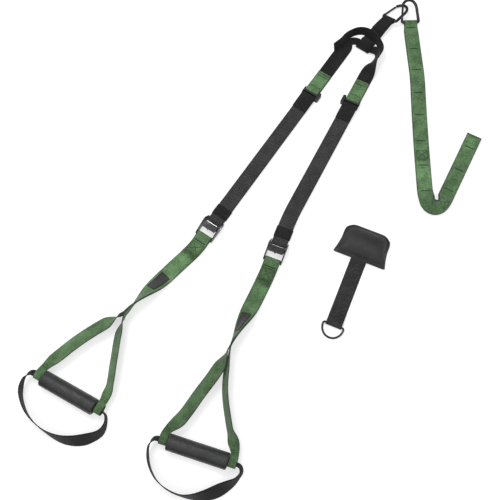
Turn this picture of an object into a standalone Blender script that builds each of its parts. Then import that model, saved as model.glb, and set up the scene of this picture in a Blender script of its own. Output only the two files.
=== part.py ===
"""Suspension trainer laid out flat: two strap legs with cam buckles, handles and foot cradles,
a doubled anchor strap on two linked carabiners, and a separate door anchor.

Metres, +Z up. Every strap follows a course over the floor. A course is a chain of arcs or a
smooth line through points, with a height and a roll along it, so each piece starts where the
one before it ends.
"""

import math

import bmesh
import bpy
from mathutils import Matrix, Vector

# Webbing
WEB_WIDTH = 0.038
WEB_THICK = 0.002
LAYER_GAP = 0.0003
ROW_SPACING = 0.012
ROW_TURN = 8.0
LAYER = WEB_THICK + LAYER_GAP
HALF_LAYER = LAYER / 2
ON_FLOOR = WEB_THICK / 2

# End loop that carries the cross strap
TUBE_INNER_LENGTH = 0.027
TUBE_INNER_HEIGHT = 0.006
CROSS_WIDTH = 0.022
TUBE_HALF = (TUBE_INNER_LENGTH - TUBE_INNER_HEIGHT) / 2
TUBE_RADIUS = (TUBE_INNER_HEIGHT + WEB_THICK) / 2
TUBE_LIFT = TUBE_RADIUS + ON_FLOOR
STACK_RAMP = 0.014

# Body strap between the end loop and the lower carabiner
EQUALIZER_AT = Vector((0.2695, 0.496, 0.0))
BODY_HEADING = 54.0
BODY_LENGTH = 0.106
BODY_TURN = -9.0
BODY_TAIL_ROW = 5
BODY_ROLL = -18.0
BODY_EYE_LIFT = 0.0066

# Carabiners
WIRE_RADIUS = 0.0038
GATE_RADIUS = 0.0029
CARABINER_LENGTH = 0.064
CARABINER_BASE = 0.0220
CARABINER_ARCH = 0.0195
CARABINER_CORNER = 0.0048
GATE_FOOT = 0.0085
EYE_WIDTH = 0.0340
EYE_TAPER = 0.030
ARCH_START = 0.038
NOSE_ANGLE = 152.0
GATE_GAP = 0.0004
GATE_TAPER = 0.0018
GATE_FOOT_SHARE = 0.35
LOWER_PITCH = -3.0
UPPER_PITCH = 11.5
EYE_RADIUS = WIRE_RADIUS + LAYER_GAP + WEB_THICK / 2

# Anchor strap
ANCHOR_OFFSET = Vector((0.05723, -0.00652, 0.0))
ANCHOR_HEADING = 271.5
ANCHOR_UPPER = 0.140
ANCHOR_UPPER_ANGLE = 0.8
ANCHOR_BEND = 0.060
ANCHOR_BEND_ANGLE = -4.8
ANCHOR_LOWER = 0.325
ANCHOR_LOWER_ANGLE = 2.5
ANCHOR_TURN = 0.052
ANCHOR_TURN_ANGLE = 152.2
ANCHOR_TWIST = 0.036
ANCHOR_RETURN = 0.217
ANCHOR_ROLL = 48.0
ANCHOR_SPREAD = 0.0007
ANCHOR_EYE_LIFT = 0.0066

# Keeper sleeve round both layers of a leg
KEEPER_WALL = 0.0013
KEEPER_LENGTH = 0.027
KEEPER_TO_BUCKLE = 0.010
KEEPER_SLACK = 0.0004
LEG_LIFT = KEEPER_WALL + LAYER_GAP + ON_FLOOR
FRONT_LIFT = LEG_LIFT + LAYER

# Legs, from the end loop to the lower bar of the cam buckle
TUBE_RUN = 0.0205
LEFT_TURN = 0.0325
LEFT_TURN_ANGLE = 92.1
LEFT_LEG = 0.6585
RIGHT_RUN = 0.0260
RIGHT_TURN = 0.034
RIGHT_TURN_ANGLE = -87.5
RIGHT_SWEEP = 0.060
RIGHT_SWEEP_ANGLE = 6.0
RIGHT_LEG = 0.413
RIGHT_BEND = 0.050
RIGHT_BEND_ANGLE = 6.2
RIGHT_END = 0.098
RIGHT_TWIST = 70.0
CROSS_GAP = 0.00015

# Cam buckle, measured up the strap from its lower bar
BUCKLE_WALL = 0.0025
BUCKLE_INNER = 0.0404
BAR_RADIUS = 0.0032
BASE_WIDTH = 0.014
BASE_THICK = 0.0030
AXLE_AT = 0.033
AXLE_RADIUS = 0.0022
RIVET_RADIUS = 0.0036
RIVET_HEAD = 0.0012
LOBE_RADIUS = 0.0052
TOOTH = 0.0004
TOOTH_COUNT = 5
TOOTH_PITCH = 17.0
LEVER_WIDTH = 0.0376
LEVER_REACH = 0.0185
LEVER_THICK = 0.0024
LEVER_RISE = 0.0015
TONGUE_RADIUS = 0.0030
TONGUE_REACH = 0.0022
AXLE_WINDOW = 0.0300
AXLE_WINDOW_GAP = 0.0040
PLATE_END = 0.0500
PLATE_FOOT = 0.0055
PLATE_CROWN = 0.0075
PLATE_TAIL = 0.0035
BASE_LIFT = LEG_LIFT + WEB_THICK / 2 + LAYER_GAP + BASE_THICK / 2
WRAP_RADIUS = BASE_LIFT - LEG_LIFT
CLAMP_LIFT = BASE_LIFT + WRAP_RADIUS
AXLE_LIFT = CLAMP_LIFT + WEB_THICK / 2 + 2 * LAYER_GAP + TOOTH + LOBE_RADIUS
YOKE_EYE = BAR_RADIUS + LAYER_GAP + WEB_THICK / 2
BAR_LIFT = YOKE_EYE + ON_FLOOR + LAYER_GAP

# Length adjuster, measured up the strap from its middle
ADJUSTER_TO_BAR = 0.473
ADJUSTER_WIDTH = 0.048
ADJUSTER_LENGTH = 0.023
ADJUSTER_SHIFT = 0.0032
ADJUSTER_INNER = 0.0394
ADJUSTER_BAR = 0.0030
ADJUSTER_FLOOR = 0.0013
ADJUSTER_ROUND = 0.0030
ADJUSTER_BAR_AT = 0.0072
ADJUSTER_BRIDGE = 0.0042
ADJUSTER_BAR_LIFT = FRONT_LIFT + LAYER + ADJUSTER_BAR / 2 - WEB_THICK / 2
ADJUSTER_EYE = ADJUSTER_BAR_LIFT - FRONT_LIFT
ADJUSTER_TOP = ADJUSTER_BAR_LIFT + ADJUSTER_EYE + ON_FLOOR + 0.5 * WEB_THICK
TAB_LENGTH = 0.072
TAB_WIDTH = 0.0365
SEWN_LENGTH = 0.055
SEWN_WIDTH = 0.0390
SEWN_RAMP = 0.020
SANDWICH = 0.024

# Locking loop over the body strap
LOCK_HEIGHT = 0.025
LOCK_REACH = 0.070
LOCK_OVER = 0.0225
LOCK_ROLL = 76.0
LOCK_SHARES = (
    (-0.92, 0.04), (-0.69, 0.30), (-0.28, 0.49), (0.035, 0.46), (0.29, 0.28), (0.49, -0.04),
    (0.56, -0.33),
)
LOCK_LEFT_AT = 0.090
LOCK_RIGHT_AT = 0.068
LOCK_SEAT = 0.0010

# Handle yoke
YOKE_TAIL = 0.062
YOKE_RAMP = 0.013
YOKE_LEFT = 0.262
YOKE_RIGHT = 0.232
YOKE_LEFT_HEADING = -11.7
YOKE_LEFT_TURN = 5.0
YOKE_RIGHT_HEADING = -4.1
YOKE_RIGHT_TURN = 0.0
YOKE_START = 0.020
YOKE_BEND = 0.040
YOKE_SPLIT = 0.085
YOKE_ROLL = 84.0
PATCH_ROWS = 4
PATCH_WIDTH = 0.026
PATCH_THICK = 0.0008
PATCH_LEFT_ROW = 11
PATCH_RIGHT_ROW = 12
ARM_EYE_WIDTH = 0.0180
ARM_TAIL = 0.014
ARM_LEFT_OUTER_SHARES = ((0.215, -0.038), (0.454, -0.057), (0.705, -0.052))
ARM_LEFT_INNER_SHARES = ((0.148, -0.012), (0.500, 0.016), (0.820, 0.040))
ARM_RIGHT_OUTER_SHARES = ((0.222, 0.022), (0.500, 0.020), (0.767, 0.016))
ARM_RIGHT_INNER_SHARES = ((0.180, -0.035), (0.352, -0.053), (0.696, -0.021))
ARM_LEFT_ROLLS = (30.0, 56.0)
ARM_RIGHT_ROLLS = (38.0, 70.0)

# Grip
GRIP_LENGTH = 0.136
GRIP_RADIUS = 0.0185
GRIP_END_ROUND = 0.0036
GRIP_BORE = 0.0140
CORE_RADIUS = 0.0137
CORE_BORE = 0.0115
CORE_RECESS = 0.0015
GRIP_LEFT_OFFSET = Vector((-0.287, -0.371, 0.0))
GRIP_LEFT_AXIS = -28.4
GRIP_RIGHT_OFFSET = Vector((-0.164, -0.434, 0.0))
GRIP_RIGHT_AXIS = -17.6
GRIP_SIDES = 36

# Foot cradle
NECK_WIDTH = 0.0150
NECK_LENGTH = 0.0205
NECK_EYE_GAP = 0.0005
CRADLE_WIDTH = 0.036
CRADLE_HALF = 0.100
CRADLE_DEPTH = 0.094
CRADLE_LIFT = 0.0192
CRADLE_LEFT_SHARES = (
    (-0.955, 0.02), (-1.03, 0.16), (-0.98, 0.42), (-0.64, 0.80), (-0.05, 0.99), (0.50, 0.93),
    (0.88, 0.68), (1.08, 0.36), (1.04, 0.13), (0.955, 0.02),
)
CRADLE_RIGHT_SHARES = (
    (-0.955, 0.02), (-1.03, 0.17), (-0.98, 0.42), (-0.66, 0.84), (-0.04, 1.00), (0.44, 0.83),
    (0.77, 0.54), (0.97, 0.28), (1.01, 0.12), (0.955, 0.02),
)
CRADLE_LEFT_ROLL_SHARES = (
    (0.0, 0.25), (0.09, 0.98), (0.45, 0.93), (0.74, 0.62), (0.88, 0.85), (1.0, 0.90),
)
CRADLE_RIGHT_ROLL_SHARES = (
    (0.0, 0.45), (0.09, 1.0), (0.48, 0.95), (0.74, 0.52), (0.90, 0.80), (1.0, 0.60),
)
CRADLE_NARROW = 0.020
CRADLE_WIDEN = 0.034
CORE_STUB = 0.040
NECK_CLEAR = 0.0006
NECK_EYE = math.hypot(NECK_WIDTH, WEB_THICK) / 2 + NECK_CLEAR + WEB_THICK / 2

# Door anchor
PAD_AT = Vector((0.2215, -0.1030, 0.0))
PAD_HEADING = 247.4
PAD_WIDTH = 0.126
PAD_HEIGHT = 0.080
PAD_TOP_SHARE = 0.92
PAD_WAIST_SHARE = 0.07
PAD_CROWN = 0.024
PAD_EDGE = 0.0050
PAD_CORNER = 0.012
PAD_CORNER_SHARE = 0.36
DOOR_STRAP = 0.170
RING_WIRE = 0.0024
RING_HALF = 0.0245
RING_DEPTH = 0.031
RING_CORNER = 0.0045
RING_EYE = RING_WIRE + LAYER_GAP + WEB_THICK / 2
RING_LIFT = RING_EYE + ON_FLOOR
DOOR_TAIL = 0.030
DOOR_STACK = 0.012

OVERRUN = 0.004
TURN_STEP = 14.0
PROBE = 0.0005

PARTS = "Suspension_Trainer"
CUTTERS = "Cutters"
ALONG_Z = Vector((0.0, 0.0, 1.0))

FINISHES = {
    "green_webbing": ((0.095, 0.185, 0.085), 0.85, 0.0),
    "black_webbing": ((0.018, 0.018, 0.020), 0.85, 0.0),
    "grey_webbing": ((0.050, 0.050, 0.052), 0.85, 0.0),
    "black_metal": ((0.020, 0.020, 0.022), 0.40, 0.8),
    "steel": ((0.60, 0.60, 0.60), 0.25, 1.0),
    "black_plastic": ((0.025, 0.025, 0.027), 0.55, 0.0),
    "grip_foam": ((0.045, 0.045, 0.047), 0.80, 0.0),
    "pad_cloth": ((0.016, 0.016, 0.018), 0.75, 0.0),
    "patch_cloth": ((0.060, 0.055, 0.058), 0.80, 0.0),
}


def smooth(share):
    """An even start and stop between 0 and 1."""
    share = min(max(share, 0.0), 1.0)
    return share * share * (3.0 - 2.0 * share)


def keyed(table, at):
    """The value at a place along a table of (place, value), eased from one to the next."""
    if at <= table[0][0]:
        return table[0][1]
    for (low, first), (high, second) in zip(table, table[1:]):
        if at <= high:
            return first + (second - first) * smooth((at - low) / (high - low))
    return table[-1][1]


def heading_vector(degrees):
    return Vector((math.cos(math.radians(degrees)), math.sin(math.radians(degrees)), 0.0))


class Course:
    """A centre line over the floor. Past either end it runs straight. Rolled, it rises by its half width."""

    def __init__(self, lifts, rolls, half_width=0.0):
        self.lifts = lifts
        self.rolls = rolls
        self.half_width = half_width
        self.shared = {}

    def point(self, at):
        """The point of the centre line this far along, with its height."""
        flat = self.plan(at)
        rise = self.half_width * abs(math.sin(math.radians(keyed(self.rolls, at))))
        return Vector((flat.x, flat.y, keyed(self.lifts, at) + rise))

    def frame(self, at):
        """Origin, the direction across the strap, the direction along it and its normal.

        The normal is longer than one where the strap twists, so that layers keep their gap at the edges.
        """
        origin = self.point(at)
        along = (self.point(at + PROBE) - self.point(at - PROBE)).normalized()
        level = along.cross(ALONG_Z).normalized()
        upward = level.cross(along)
        roll = math.radians(keyed(self.rolls, at))
        across = level * math.cos(roll) - upward * math.sin(roll)
        twist = math.radians(keyed(self.rolls, at + PROBE) - keyed(self.rolls, at - PROBE)) / (2 * PROBE)
        return origin, across, along, across.cross(along) * math.hypot(1.0, twist * self.half_width)

    def rows(self, first, second):
        """Places for rows between two others: one every spacing, more where the strap bends or twists."""
        places = []
        for index in range(math.floor(first / ROW_SPACING), math.ceil(second / ROW_SPACING)):
            start = index * ROW_SPACING
            if start not in self.shared:
                _, across, along, _ = self.frame(start)
                _, next_across, next_along, _ = self.frame(start + ROW_SPACING)
                bend = math.degrees(max(across.angle(next_across), along.angle(next_along)))
                self.shared[start] = max(1, math.ceil(bend / ROW_TURN))
            count = self.shared[start]
            places += [start + ROW_SPACING * step / count for step in range(count)]
            least = ROW_SPACING / count / 3
            places = [place for place in places if first + least < place < second - least]
        return places

    def matrix(self, at, lift=0.0):
        """A placement: X across, Y along, Z along the normal."""
        origin, across, along, normal = self.frame(at)
        normal.normalize()
        turned = Matrix((across, along, normal)).transposed().to_4x4()
        turned.translation = origin + normal * lift
        return turned


class ArcCourse(Course):
    """Arcs joined end to end, each a (length, turn in degrees)."""

    def __init__(self, start, heading, arcs, lifts, rolls=((0.0, 0.0),)):
        super().__init__(lifts, rolls, WEB_WIDTH / 2)
        self.start = Vector(start)
        self.heading = heading
        self.arcs = arcs
        self.length = sum(length for length, _ in arcs)

    def plan(self, at):
        place, heading, left = self.start.copy(), self.heading, at
        if left <= 0.0:
            return place + heading_vector(heading) * left
        for length, turn in self.arcs:
            run = min(left, length)
            part = turn * run / length
            if abs(part) < PROBE:
                place += heading_vector(heading) * run
            else:
                chord = 2.0 * math.sin(math.radians(part) / 2.0) * run / math.radians(part)
                place += heading_vector(heading + part / 2.0) * chord
            heading += part
            left -= run
            if left <= 0.0:
                return place
        return place + heading_vector(heading) * left


class LineCourse(Course):
    """A smooth line through points."""

    def __init__(self, points, lifts, rolls, steps=12):
        super().__init__(lifts, rolls)
        doubled = [2 * points[0] - points[1]] + list(points) + [2 * points[-1] - points[-2]]
        self.run = []
        for a, b, c, d in zip(doubled, doubled[1:], doubled[2:], doubled[3:]):
            before, here, after = (b - a).length, (c - b).length, (d - c).length
            leaving = ((b - a) * (here / before) + (c - b) * (before / here)) * (here / (before + here))
            coming = ((c - b) * (after / here) + (d - c) * (here / after)) * (here / (here + after))
            for step in range(steps):
                t = step / steps
                self.run.append(
                    b * (1 + 2 * t) * (1 - t) ** 2 + leaving * t * (1 - t) ** 2
                    + c * t * t * (3 - 2 * t) - coming * t * t * (1 - t)
                )
        self.run.append(Vector(points[-1]))
        self.reach = [0.0]
        for first, second in zip(self.run, self.run[1:]):
            self.reach.append(self.reach[-1] + (second - first).length)
        self.length = self.reach[-1]
        self.lifts = [(share * self.length, value) for share, value in lifts]
        self.rolls = [(share * self.length, value) for share, value in rolls]

    def plan(self, at):
        if at <= 0.0:
            return self.run[0] + (self.run[1] - self.run[0]).normalized() * at
        for index in range(1, len(self.run)):
            if at <= self.reach[index]:
                low, high = self.reach[index - 1], self.reach[index]
                return self.run[index - 1].lerp(self.run[index], (at - low) / (high - low))
        return self.run[-1] + (self.run[-1] - self.run[-2]).normalized() * (at - self.length)


def wrap(at, height, radius, start, sweep):
    """Points of a strap bent round a bar: degrees from the strap's forward direction, upward positive."""
    count = max(2, round(abs(sweep) / (2.0 * TURN_STEP)) * 2)
    turned = [math.radians(start + sweep * step / count) for step in range(count + 1)]
    return [(at + radius * math.cos(a), height + radius * math.sin(a)) for a in turned]


def ramp(first, second, steps=4):
    """Points of a strap that eases from one layer height to another."""
    run = []
    for step in range(steps + 1):
        share = step / steps
        at = first[0] + (second[0] - first[0]) * share
        run.append((at, first[1] + (second[1] - first[1]) * smooth(share)))
    return run


def filled(course, profile):
    """The profile with the course's own rows added, so that layers on one course share them."""
    rows = [profile[0]]
    for here in profile[1:]:
        last = rows[-1]
        if math.dist(last, here) < PROBE / 5:
            continue
        marks = course.rows(*sorted((last[0], here[0])))
        for mark in marks if here[0] > last[0] else marks[::-1]:
            share = (mark - last[0]) / (here[0] - last[0])
            rows.append((mark, last[1] + (here[1] - last[1]) * share))
        rows.append(here)
    return rows


def collection(name):
    found = bpy.data.collections.new(name)
    bpy.context.scene.collection.children.link(found)
    return found


def material(name):
    if name in bpy.data.materials:
        return bpy.data.materials[name]
    colour, roughness, metallic = FINISHES[name]
    made = bpy.data.materials.new(name)
    made.use_nodes = True
    shader = made.node_tree.nodes["Principled BSDF"]
    shader.inputs["Base Color"].default_value = (*colour, 1.0)
    shader.inputs["Roughness"].default_value = roughness
    shader.inputs["Metallic"].default_value = metallic
    made.diffuse_color = (*colour, 1.0)
    return made


def add(name, data, finish, place=None):
    """A part of the model in its own object."""
    made = bpy.data.objects.new(name, data)
    bpy.data.collections[PARTS].objects.link(made)
    data.materials.append(material(finish))
    if place is not None:
        made.matrix_world = place
    return made


def cutter(name, mesh, place):
    """A helper for a Boolean, left out of the model."""
    made = bpy.data.objects.new(name, mesh)
    bpy.data.collections[CUTTERS].objects.link(made)
    made.matrix_world = place
    made.hide_render = True
    made.display_type = "WIRE"
    return made


def mesh_from(bm, name):
    mesh = bpy.data.meshes.new(name)
    bmesh.ops.recalc_face_normals(bm, faces=bm.faces)
    bm.to_mesh(mesh)
    bm.free()
    return mesh


def webbing(name, course, profile, finish, widths=((0.0, WEB_WIDTH),), thick=WEB_THICK, shift=0.0):
    """A strap draped along its course: a grid that follows the profile of (place, height), made thick."""
    rows = filled(course, profile)
    bm = bmesh.new()
    bmesh.ops.create_grid(bm, x_segments=1, y_segments=len(rows) - 1, size=1.0)
    ordered = sorted(bm.verts, key=lambda vert: (round(vert.co.y, 6), vert.co.x))
    for index, (at, height) in enumerate(rows):
        origin, across, _, normal = course.frame(at)
        half = keyed(widths, at) / 2
        centre = origin + normal * height + across * shift
        ordered[2 * index].co = centre - across * half
        ordered[2 * index + 1].co = centre + across * half
    for index, (first, second) in enumerate(zip(rows, rows[1:])):
        near, far = (index, index + 1) if first[0] <= second[0] else (index + 1, index)
        left, right = ordered[2 * near], ordered[2 * far + 1]
        bmesh.utils.face_split(next(face for face in left.link_faces if right in face.verts), left, right)
    mesh = bpy.data.meshes.new(name)
    bm.to_mesh(mesh)
    bm.free()
    made = add(name, mesh, finish)
    shell = made.modifiers.new("webbing thickness", "SOLIDIFY")
    shell.thickness = thick
    shell.offset = 0.0
    return made


def outline_curve(name, rings, depth):
    """A flat outline, with holes if there is more than one ring, extruded both ways to its depth."""
    curve = bpy.data.curves.new(name, "CURVE")
    curve.dimensions = "2D"
    curve.fill_mode = "BOTH"
    curve.extrude = depth / 2
    for ring in rings:
        spline = curve.splines.new("POLY")
        spline.points.add(len(ring) - 1)
        for point, (x, y) in zip(spline.points, ring):
            point.co = (x, y, 0.0, 1.0)
        spline.use_cyclic_u = True
    return curve


def wire_curve(name, points, radius, resolution=2, cyclic=False):
    """A bent wire through points."""
    curve = bpy.data.curves.new(name, "CURVE")
    curve.dimensions = "3D"
    curve.bevel_depth = radius
    curve.bevel_resolution = resolution
    curve.use_fill_caps = True
    spline = curve.splines.new("POLY")
    spline.points.add(len(points) - 1)
    for point, here in zip(spline.points, points):
        point.co = (*here, 1.0)
    spline.use_cyclic_u = cyclic
    return curve


def as_mesh(curve, name):
    """The closed mesh of a curve, for pieces that are cut or joined."""
    holder = bpy.data.objects.new(name, curve)
    bpy.context.scene.collection.objects.link(holder)
    bpy.context.view_layer.update()
    graph = bpy.context.evaluated_depsgraph_get()
    mesh = bpy.data.meshes.new_from_object(holder.evaluated_get(graph))
    bpy.data.objects.remove(holder)
    bm = bmesh.new()
    bm.from_mesh(mesh)
    bmesh.ops.remove_doubles(bm, verts=bm.verts, dist=PROBE / 100)
    bmesh.ops.recalc_face_normals(bm, faces=bm.faces)
    bm.to_mesh(mesh)
    bm.free()
    mesh.materials.clear()
    return mesh


def block_mesh(name, low, high):
    """A box between two corners."""
    bm = bmesh.new()
    bmesh.ops.create_cube(bm, size=1.0)
    for vert in bm.verts:
        vert.co = Vector([a + (b - a) * (0.5 + c) for a, b, c in zip(low, high, vert.co)])
    return mesh_from(bm, name)


def rod_mesh(name, centre, radius, length, sides=20):
    """A round bar along X."""
    bm = bmesh.new()
    bmesh.ops.create_cone(bm, cap_ends=True, segments=sides, radius1=radius, radius2=radius, depth=length)
    bmesh.ops.rotate(bm, verts=bm.verts, cent=(0.0, 0.0, 0.0), matrix=Matrix.Rotation(math.pi / 2, 3, "Y"))
    bmesh.ops.translate(bm, verts=bm.verts, vec=centre)
    return mesh_from(bm, name)


def joined(made, operation, others):
    """A Boolean with each of the other objects."""
    for other in others:
        step = made.modifiers.new(operation.lower(), "BOOLEAN")
        step.operation = operation
        step.solver = "EXACT"
        step.object = other


def hull_outline(circles, per_circle=14):
    """The outline round several circles of (x, y, radius), as a belt round pulleys."""
    cloud = []
    for x, y, radius in circles:
        for step in range(per_circle):
            turn = 2.0 * math.pi * step / per_circle
            cloud.append((x + radius * math.cos(turn), y + radius * math.sin(turn)))
    cloud.sort()

    def half(points):
        chain = []
        for p in points:
            while len(chain) > 1:
                (ax, ay), (bx, by) = chain[-2], chain[-1]
                if (bx - ax) * (p[1] - ay) - (by - ay) * (p[0] - ax) > 0.0:
                    break
                chain.pop()
            chain.append(p)
        return chain[:-1]

    return half(cloud) + half(cloud[::-1])


def rounded_box(half_x, half_y, radius, per_corner=3):
    """The outline of a rectangle with rounded corners."""
    ring = []
    for turn, sx, sy in ((0, 1, 1), (90, -1, 1), (180, -1, -1), (270, 1, -1)):
        for step in range(per_corner + 1):
            angle = math.radians(turn + 90.0 * step / per_corner)
            ring.append((sx * (half_x - radius) + radius * math.cos(angle),
                         sy * (half_y - radius) + radius * math.sin(angle)))
    return ring


def arc_points(centre, radius_x, radius_y, start, end, count):
    """Points along part of an ellipse in the plane of a wire."""
    x, y = centre
    turned = [math.radians(start + (end - start) * step / count) for step in range(count + 1)]
    return [Vector((x + radius_x * math.cos(a), y + radius_y * math.sin(a), 0.0)) for a in turned]


def pivot(name, place):
    """An empty that marks a joint: its X axis is the joint's axis."""
    made = bpy.data.objects.new(name, None)
    made.empty_display_size = WEB_WIDTH / 2
    bpy.data.collections[PARTS].objects.link(made)
    made.matrix_world = place
    return made


def hang(pieces, parent):
    """Parents pieces to the empty on their joint without moving them."""
    bpy.context.view_layer.update()
    for piece in pieces:
        piece.parent = parent
        piece.matrix_parent_inverse = parent.matrix_world.inverted()


def turned_grip(name, finish, profile, place):
    """A round sleeve: half its section turned about Z, which lies along the grip's axis."""
    bm = bmesh.new()
    verts = [bm.verts.new((radius, 0.0, height)) for radius, height in profile]
    for first, second in zip(verts, verts[1:] + verts[:1]):
        bm.edges.new((first, second))
    mesh = bpy.data.meshes.new(name)
    bm.to_mesh(mesh)
    bm.free()
    made = add(name, mesh, finish, place)
    screw = made.modifiers.new("turned", "SCREW")
    screw.axis = "Z"
    screw.steps = GRIP_SIDES
    screw.render_steps = GRIP_SIDES
    screw.use_merge_vertices = True
    screw.merge_threshold = 0.00001
    screw.use_smooth_shade = True
    return made


def carabiner(prefix, strap_end, pitch):
    """A wire body open on one side, and the sprung gate that closes it."""
    place = strap_end @ Matrix.Rotation(math.radians(pitch), 4, "X")
    arch_height = CARABINER_LENGTH - ARCH_START
    corner = CARABINER_CORNER
    side = CARABINER_BASE
    route = [Vector((-side, GATE_FOOT, 0.0))]
    route += arc_points((-side + corner, corner), corner, corner, 180.0, 270.0, 4)
    route += arc_points((side - corner, corner), corner, corner, 270.0, 360.0, 4)
    route += arc_points((0.0, ARCH_START), CARABINER_ARCH, arch_height, 0.0, NOSE_ANGLE, 13)
    wire = wire_curve(prefix + "_carabiner", route, WIRE_RADIUS)
    body = add(prefix + "_carabiner", wire, "black_metal", place)
    nose = route[-1]
    foot = route[0]
    line = (nose - foot).normalized()
    seat = WIRE_RADIUS * abs(line.x) + GATE_GAP
    start = foot + line * seat
    gate_length = (nose - start).length - GATE_GAP - WIRE_RADIUS * 0.8
    run = [start, start + line * GATE_TAPER, start + line * gate_length / 2, start + line * gate_length]
    rod = wire_curve(prefix + "_gate", run, GATE_RADIUS)
    rod.splines[0].points[0].radius = GATE_FOOT_SHARE
    gate = add(prefix + "_gate", rod, "black_metal", place)
    hinge = place @ Matrix.Translation(foot) @ Matrix.Rotation(math.pi / 2, 4, "Y")
    hang([gate], pivot(prefix + "_gate_pivot", hinge))
    return body


def body_strap_course():
    lifts = (
        (0.0, TUBE_LIFT),
        (TUBE_HALF, TUBE_LIFT),
        (TUBE_HALF + 1.5 * STACK_RAMP, ON_FLOOR + HALF_LAYER),
        (BODY_LENGTH - 3 * STACK_RAMP, ON_FLOOR + HALF_LAYER + LAYER_GAP),
        (BODY_LENGTH, BODY_EYE_LIFT),
    )
    rolls = ((TUBE_HALF + STACK_RAMP, 0.0), (BODY_LENGTH - 2 * STACK_RAMP, BODY_ROLL))
    return ArcCourse(EQUALIZER_AT, BODY_HEADING, [(BODY_LENGTH, BODY_TURN)], lifts, rolls)


def make_body_strap(course):
    """One strap: a loop round the cross strap, a doubled stem and an eye round the carabiner's bar."""
    end = course.length
    tube = TUBE_HALF
    profile = ramp((end - STACK_RAMP - LAYER_GAP, HALF_LAYER), (tube + STACK_RAMP, HALF_LAYER), 1)
    profile += ramp((tube + STACK_RAMP, HALF_LAYER), (tube, TUBE_RADIUS))
    profile += wrap(-tube, 0.0, TUBE_RADIUS, 90.0, 180.0)
    profile += ramp((tube, -TUBE_RADIUS), (tube + STACK_RAMP, -HALF_LAYER))
    profile += ramp((end - STACK_RAMP, -HALF_LAYER), (end, -EYE_RADIUS))
    profile += wrap(end, 0.0, EYE_RADIUS, -90.0, 180.0)
    profile += ramp((end, EYE_RADIUS), (end - STACK_RAMP, HALF_LAYER + LAYER))
    profile.append((BODY_TAIL_ROW * ROW_SPACING, HALF_LAYER + LAYER))
    widths = ((end - EYE_TAPER, WEB_WIDTH), (end - EYE_RADIUS, EYE_WIDTH))
    return webbing("body_strap", course, profile, "black_webbing", widths)


def anchor_course(bar_at):
    limb = ANCHOR_UPPER + ANCHOR_BEND + ANCHOR_LOWER
    arcs = [
        (ANCHOR_UPPER, ANCHOR_UPPER_ANGLE),
        (ANCHOR_BEND, ANCHOR_BEND_ANGLE),
        (ANCHOR_LOWER, ANCHOR_LOWER_ANGLE),
        (ANCHOR_TURN, ANCHOR_TURN_ANGLE),
        (ANCHOR_RETURN, 0.0),
    ]
    flat = ON_FLOOR + HALF_LAYER + LAYER_GAP
    middle = limb + ANCHOR_TURN / 2
    lifts = (
        (0.0, ANCHOR_EYE_LIFT),
        (2 * STACK_RAMP, flat),
    )
    rolls = (
        (limb - ANCHOR_TWIST, 0.0),
        (middle - STACK_RAMP, ANCHOR_ROLL),
        (middle + STACK_RAMP, ANCHOR_ROLL),
        (limb + ANCHOR_TURN + ANCHOR_TWIST, 0.0),
    )
    return ArcCourse(bar_at, ANCHOR_HEADING, arcs, lifts, rolls)


def make_anchor_strap(course):
    """A doubled strap sewn in steps, folded round the upper carabiner's bar and turned back on the floor."""
    end = course.length
    turn_end = end - ANCHOR_RETURN
    turn_start = turn_end - ANCHOR_TURN
    spread = [
        (turn_end + ANCHOR_TWIST, HALF_LAYER),
        (turn_end, HALF_LAYER + ANCHOR_SPREAD),
        (turn_start, HALF_LAYER + ANCHOR_SPREAD),
        (turn_start - ANCHOR_TWIST, HALF_LAYER),
    ]
    profile = [(end, HALF_LAYER)] + spread
    profile += ramp((STACK_RAMP, HALF_LAYER), (0.0, EYE_RADIUS))
    profile += wrap(0.0, 0.0, EYE_RADIUS, 90.0, 180.0)
    profile += ramp((0.0, -EYE_RADIUS), (STACK_RAMP, -HALF_LAYER))
    profile += [(at, -height) for at, height in spread[::-1]]
    profile.append((end, -HALF_LAYER))
    widths = ((EYE_RADIUS, EYE_WIDTH), (EYE_TAPER, WEB_WIDTH))
    return webbing("anchor_strap", course, profile, "green_webbing", widths)


def leg_courses():
    """The centre lines of both legs, from the middle of the end loop to the lower bar of each buckle."""
    heading = BODY_HEADING + 90.0
    turned = TUBE_RUN + LEFT_TURN
    lifts = ((TUBE_RUN, TUBE_LIFT), (turned + 2 * STACK_RAMP, LEG_LIFT))
    left = ArcCourse(
        EQUALIZER_AT, heading,
        [(TUBE_RUN, 0.0), (LEFT_TURN, LEFT_TURN_ANGLE), (LEFT_LEG, 0.0)], lifts,
    )
    turned = RIGHT_RUN + RIGHT_TURN
    swept = turned + RIGHT_SWEEP
    lifts = ((TUBE_RUN, TUBE_LIFT), (swept, LEG_LIFT))
    rolls = (
        (TUBE_INNER_LENGTH / 2 + WEB_THICK, 0.0),
        (turned - STACK_RAMP / 4, RIGHT_TWIST),
        (turned + STACK_RAMP / 2, RIGHT_TWIST),
        (swept, 0.0),
    )
    arcs = [
        (RIGHT_RUN, 0.0),
        (RIGHT_TURN, RIGHT_TURN_ANGLE),
        (RIGHT_SWEEP, RIGHT_SWEEP_ANGLE),
        (RIGHT_LEG, 0.0),
        (RIGHT_BEND, RIGHT_BEND_ANGLE),
        (RIGHT_END, 0.0),
    ]
    right = ArcCourse(EQUALIZER_AT, heading - 180.0, arcs, lifts, rolls)
    return left, right


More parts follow.
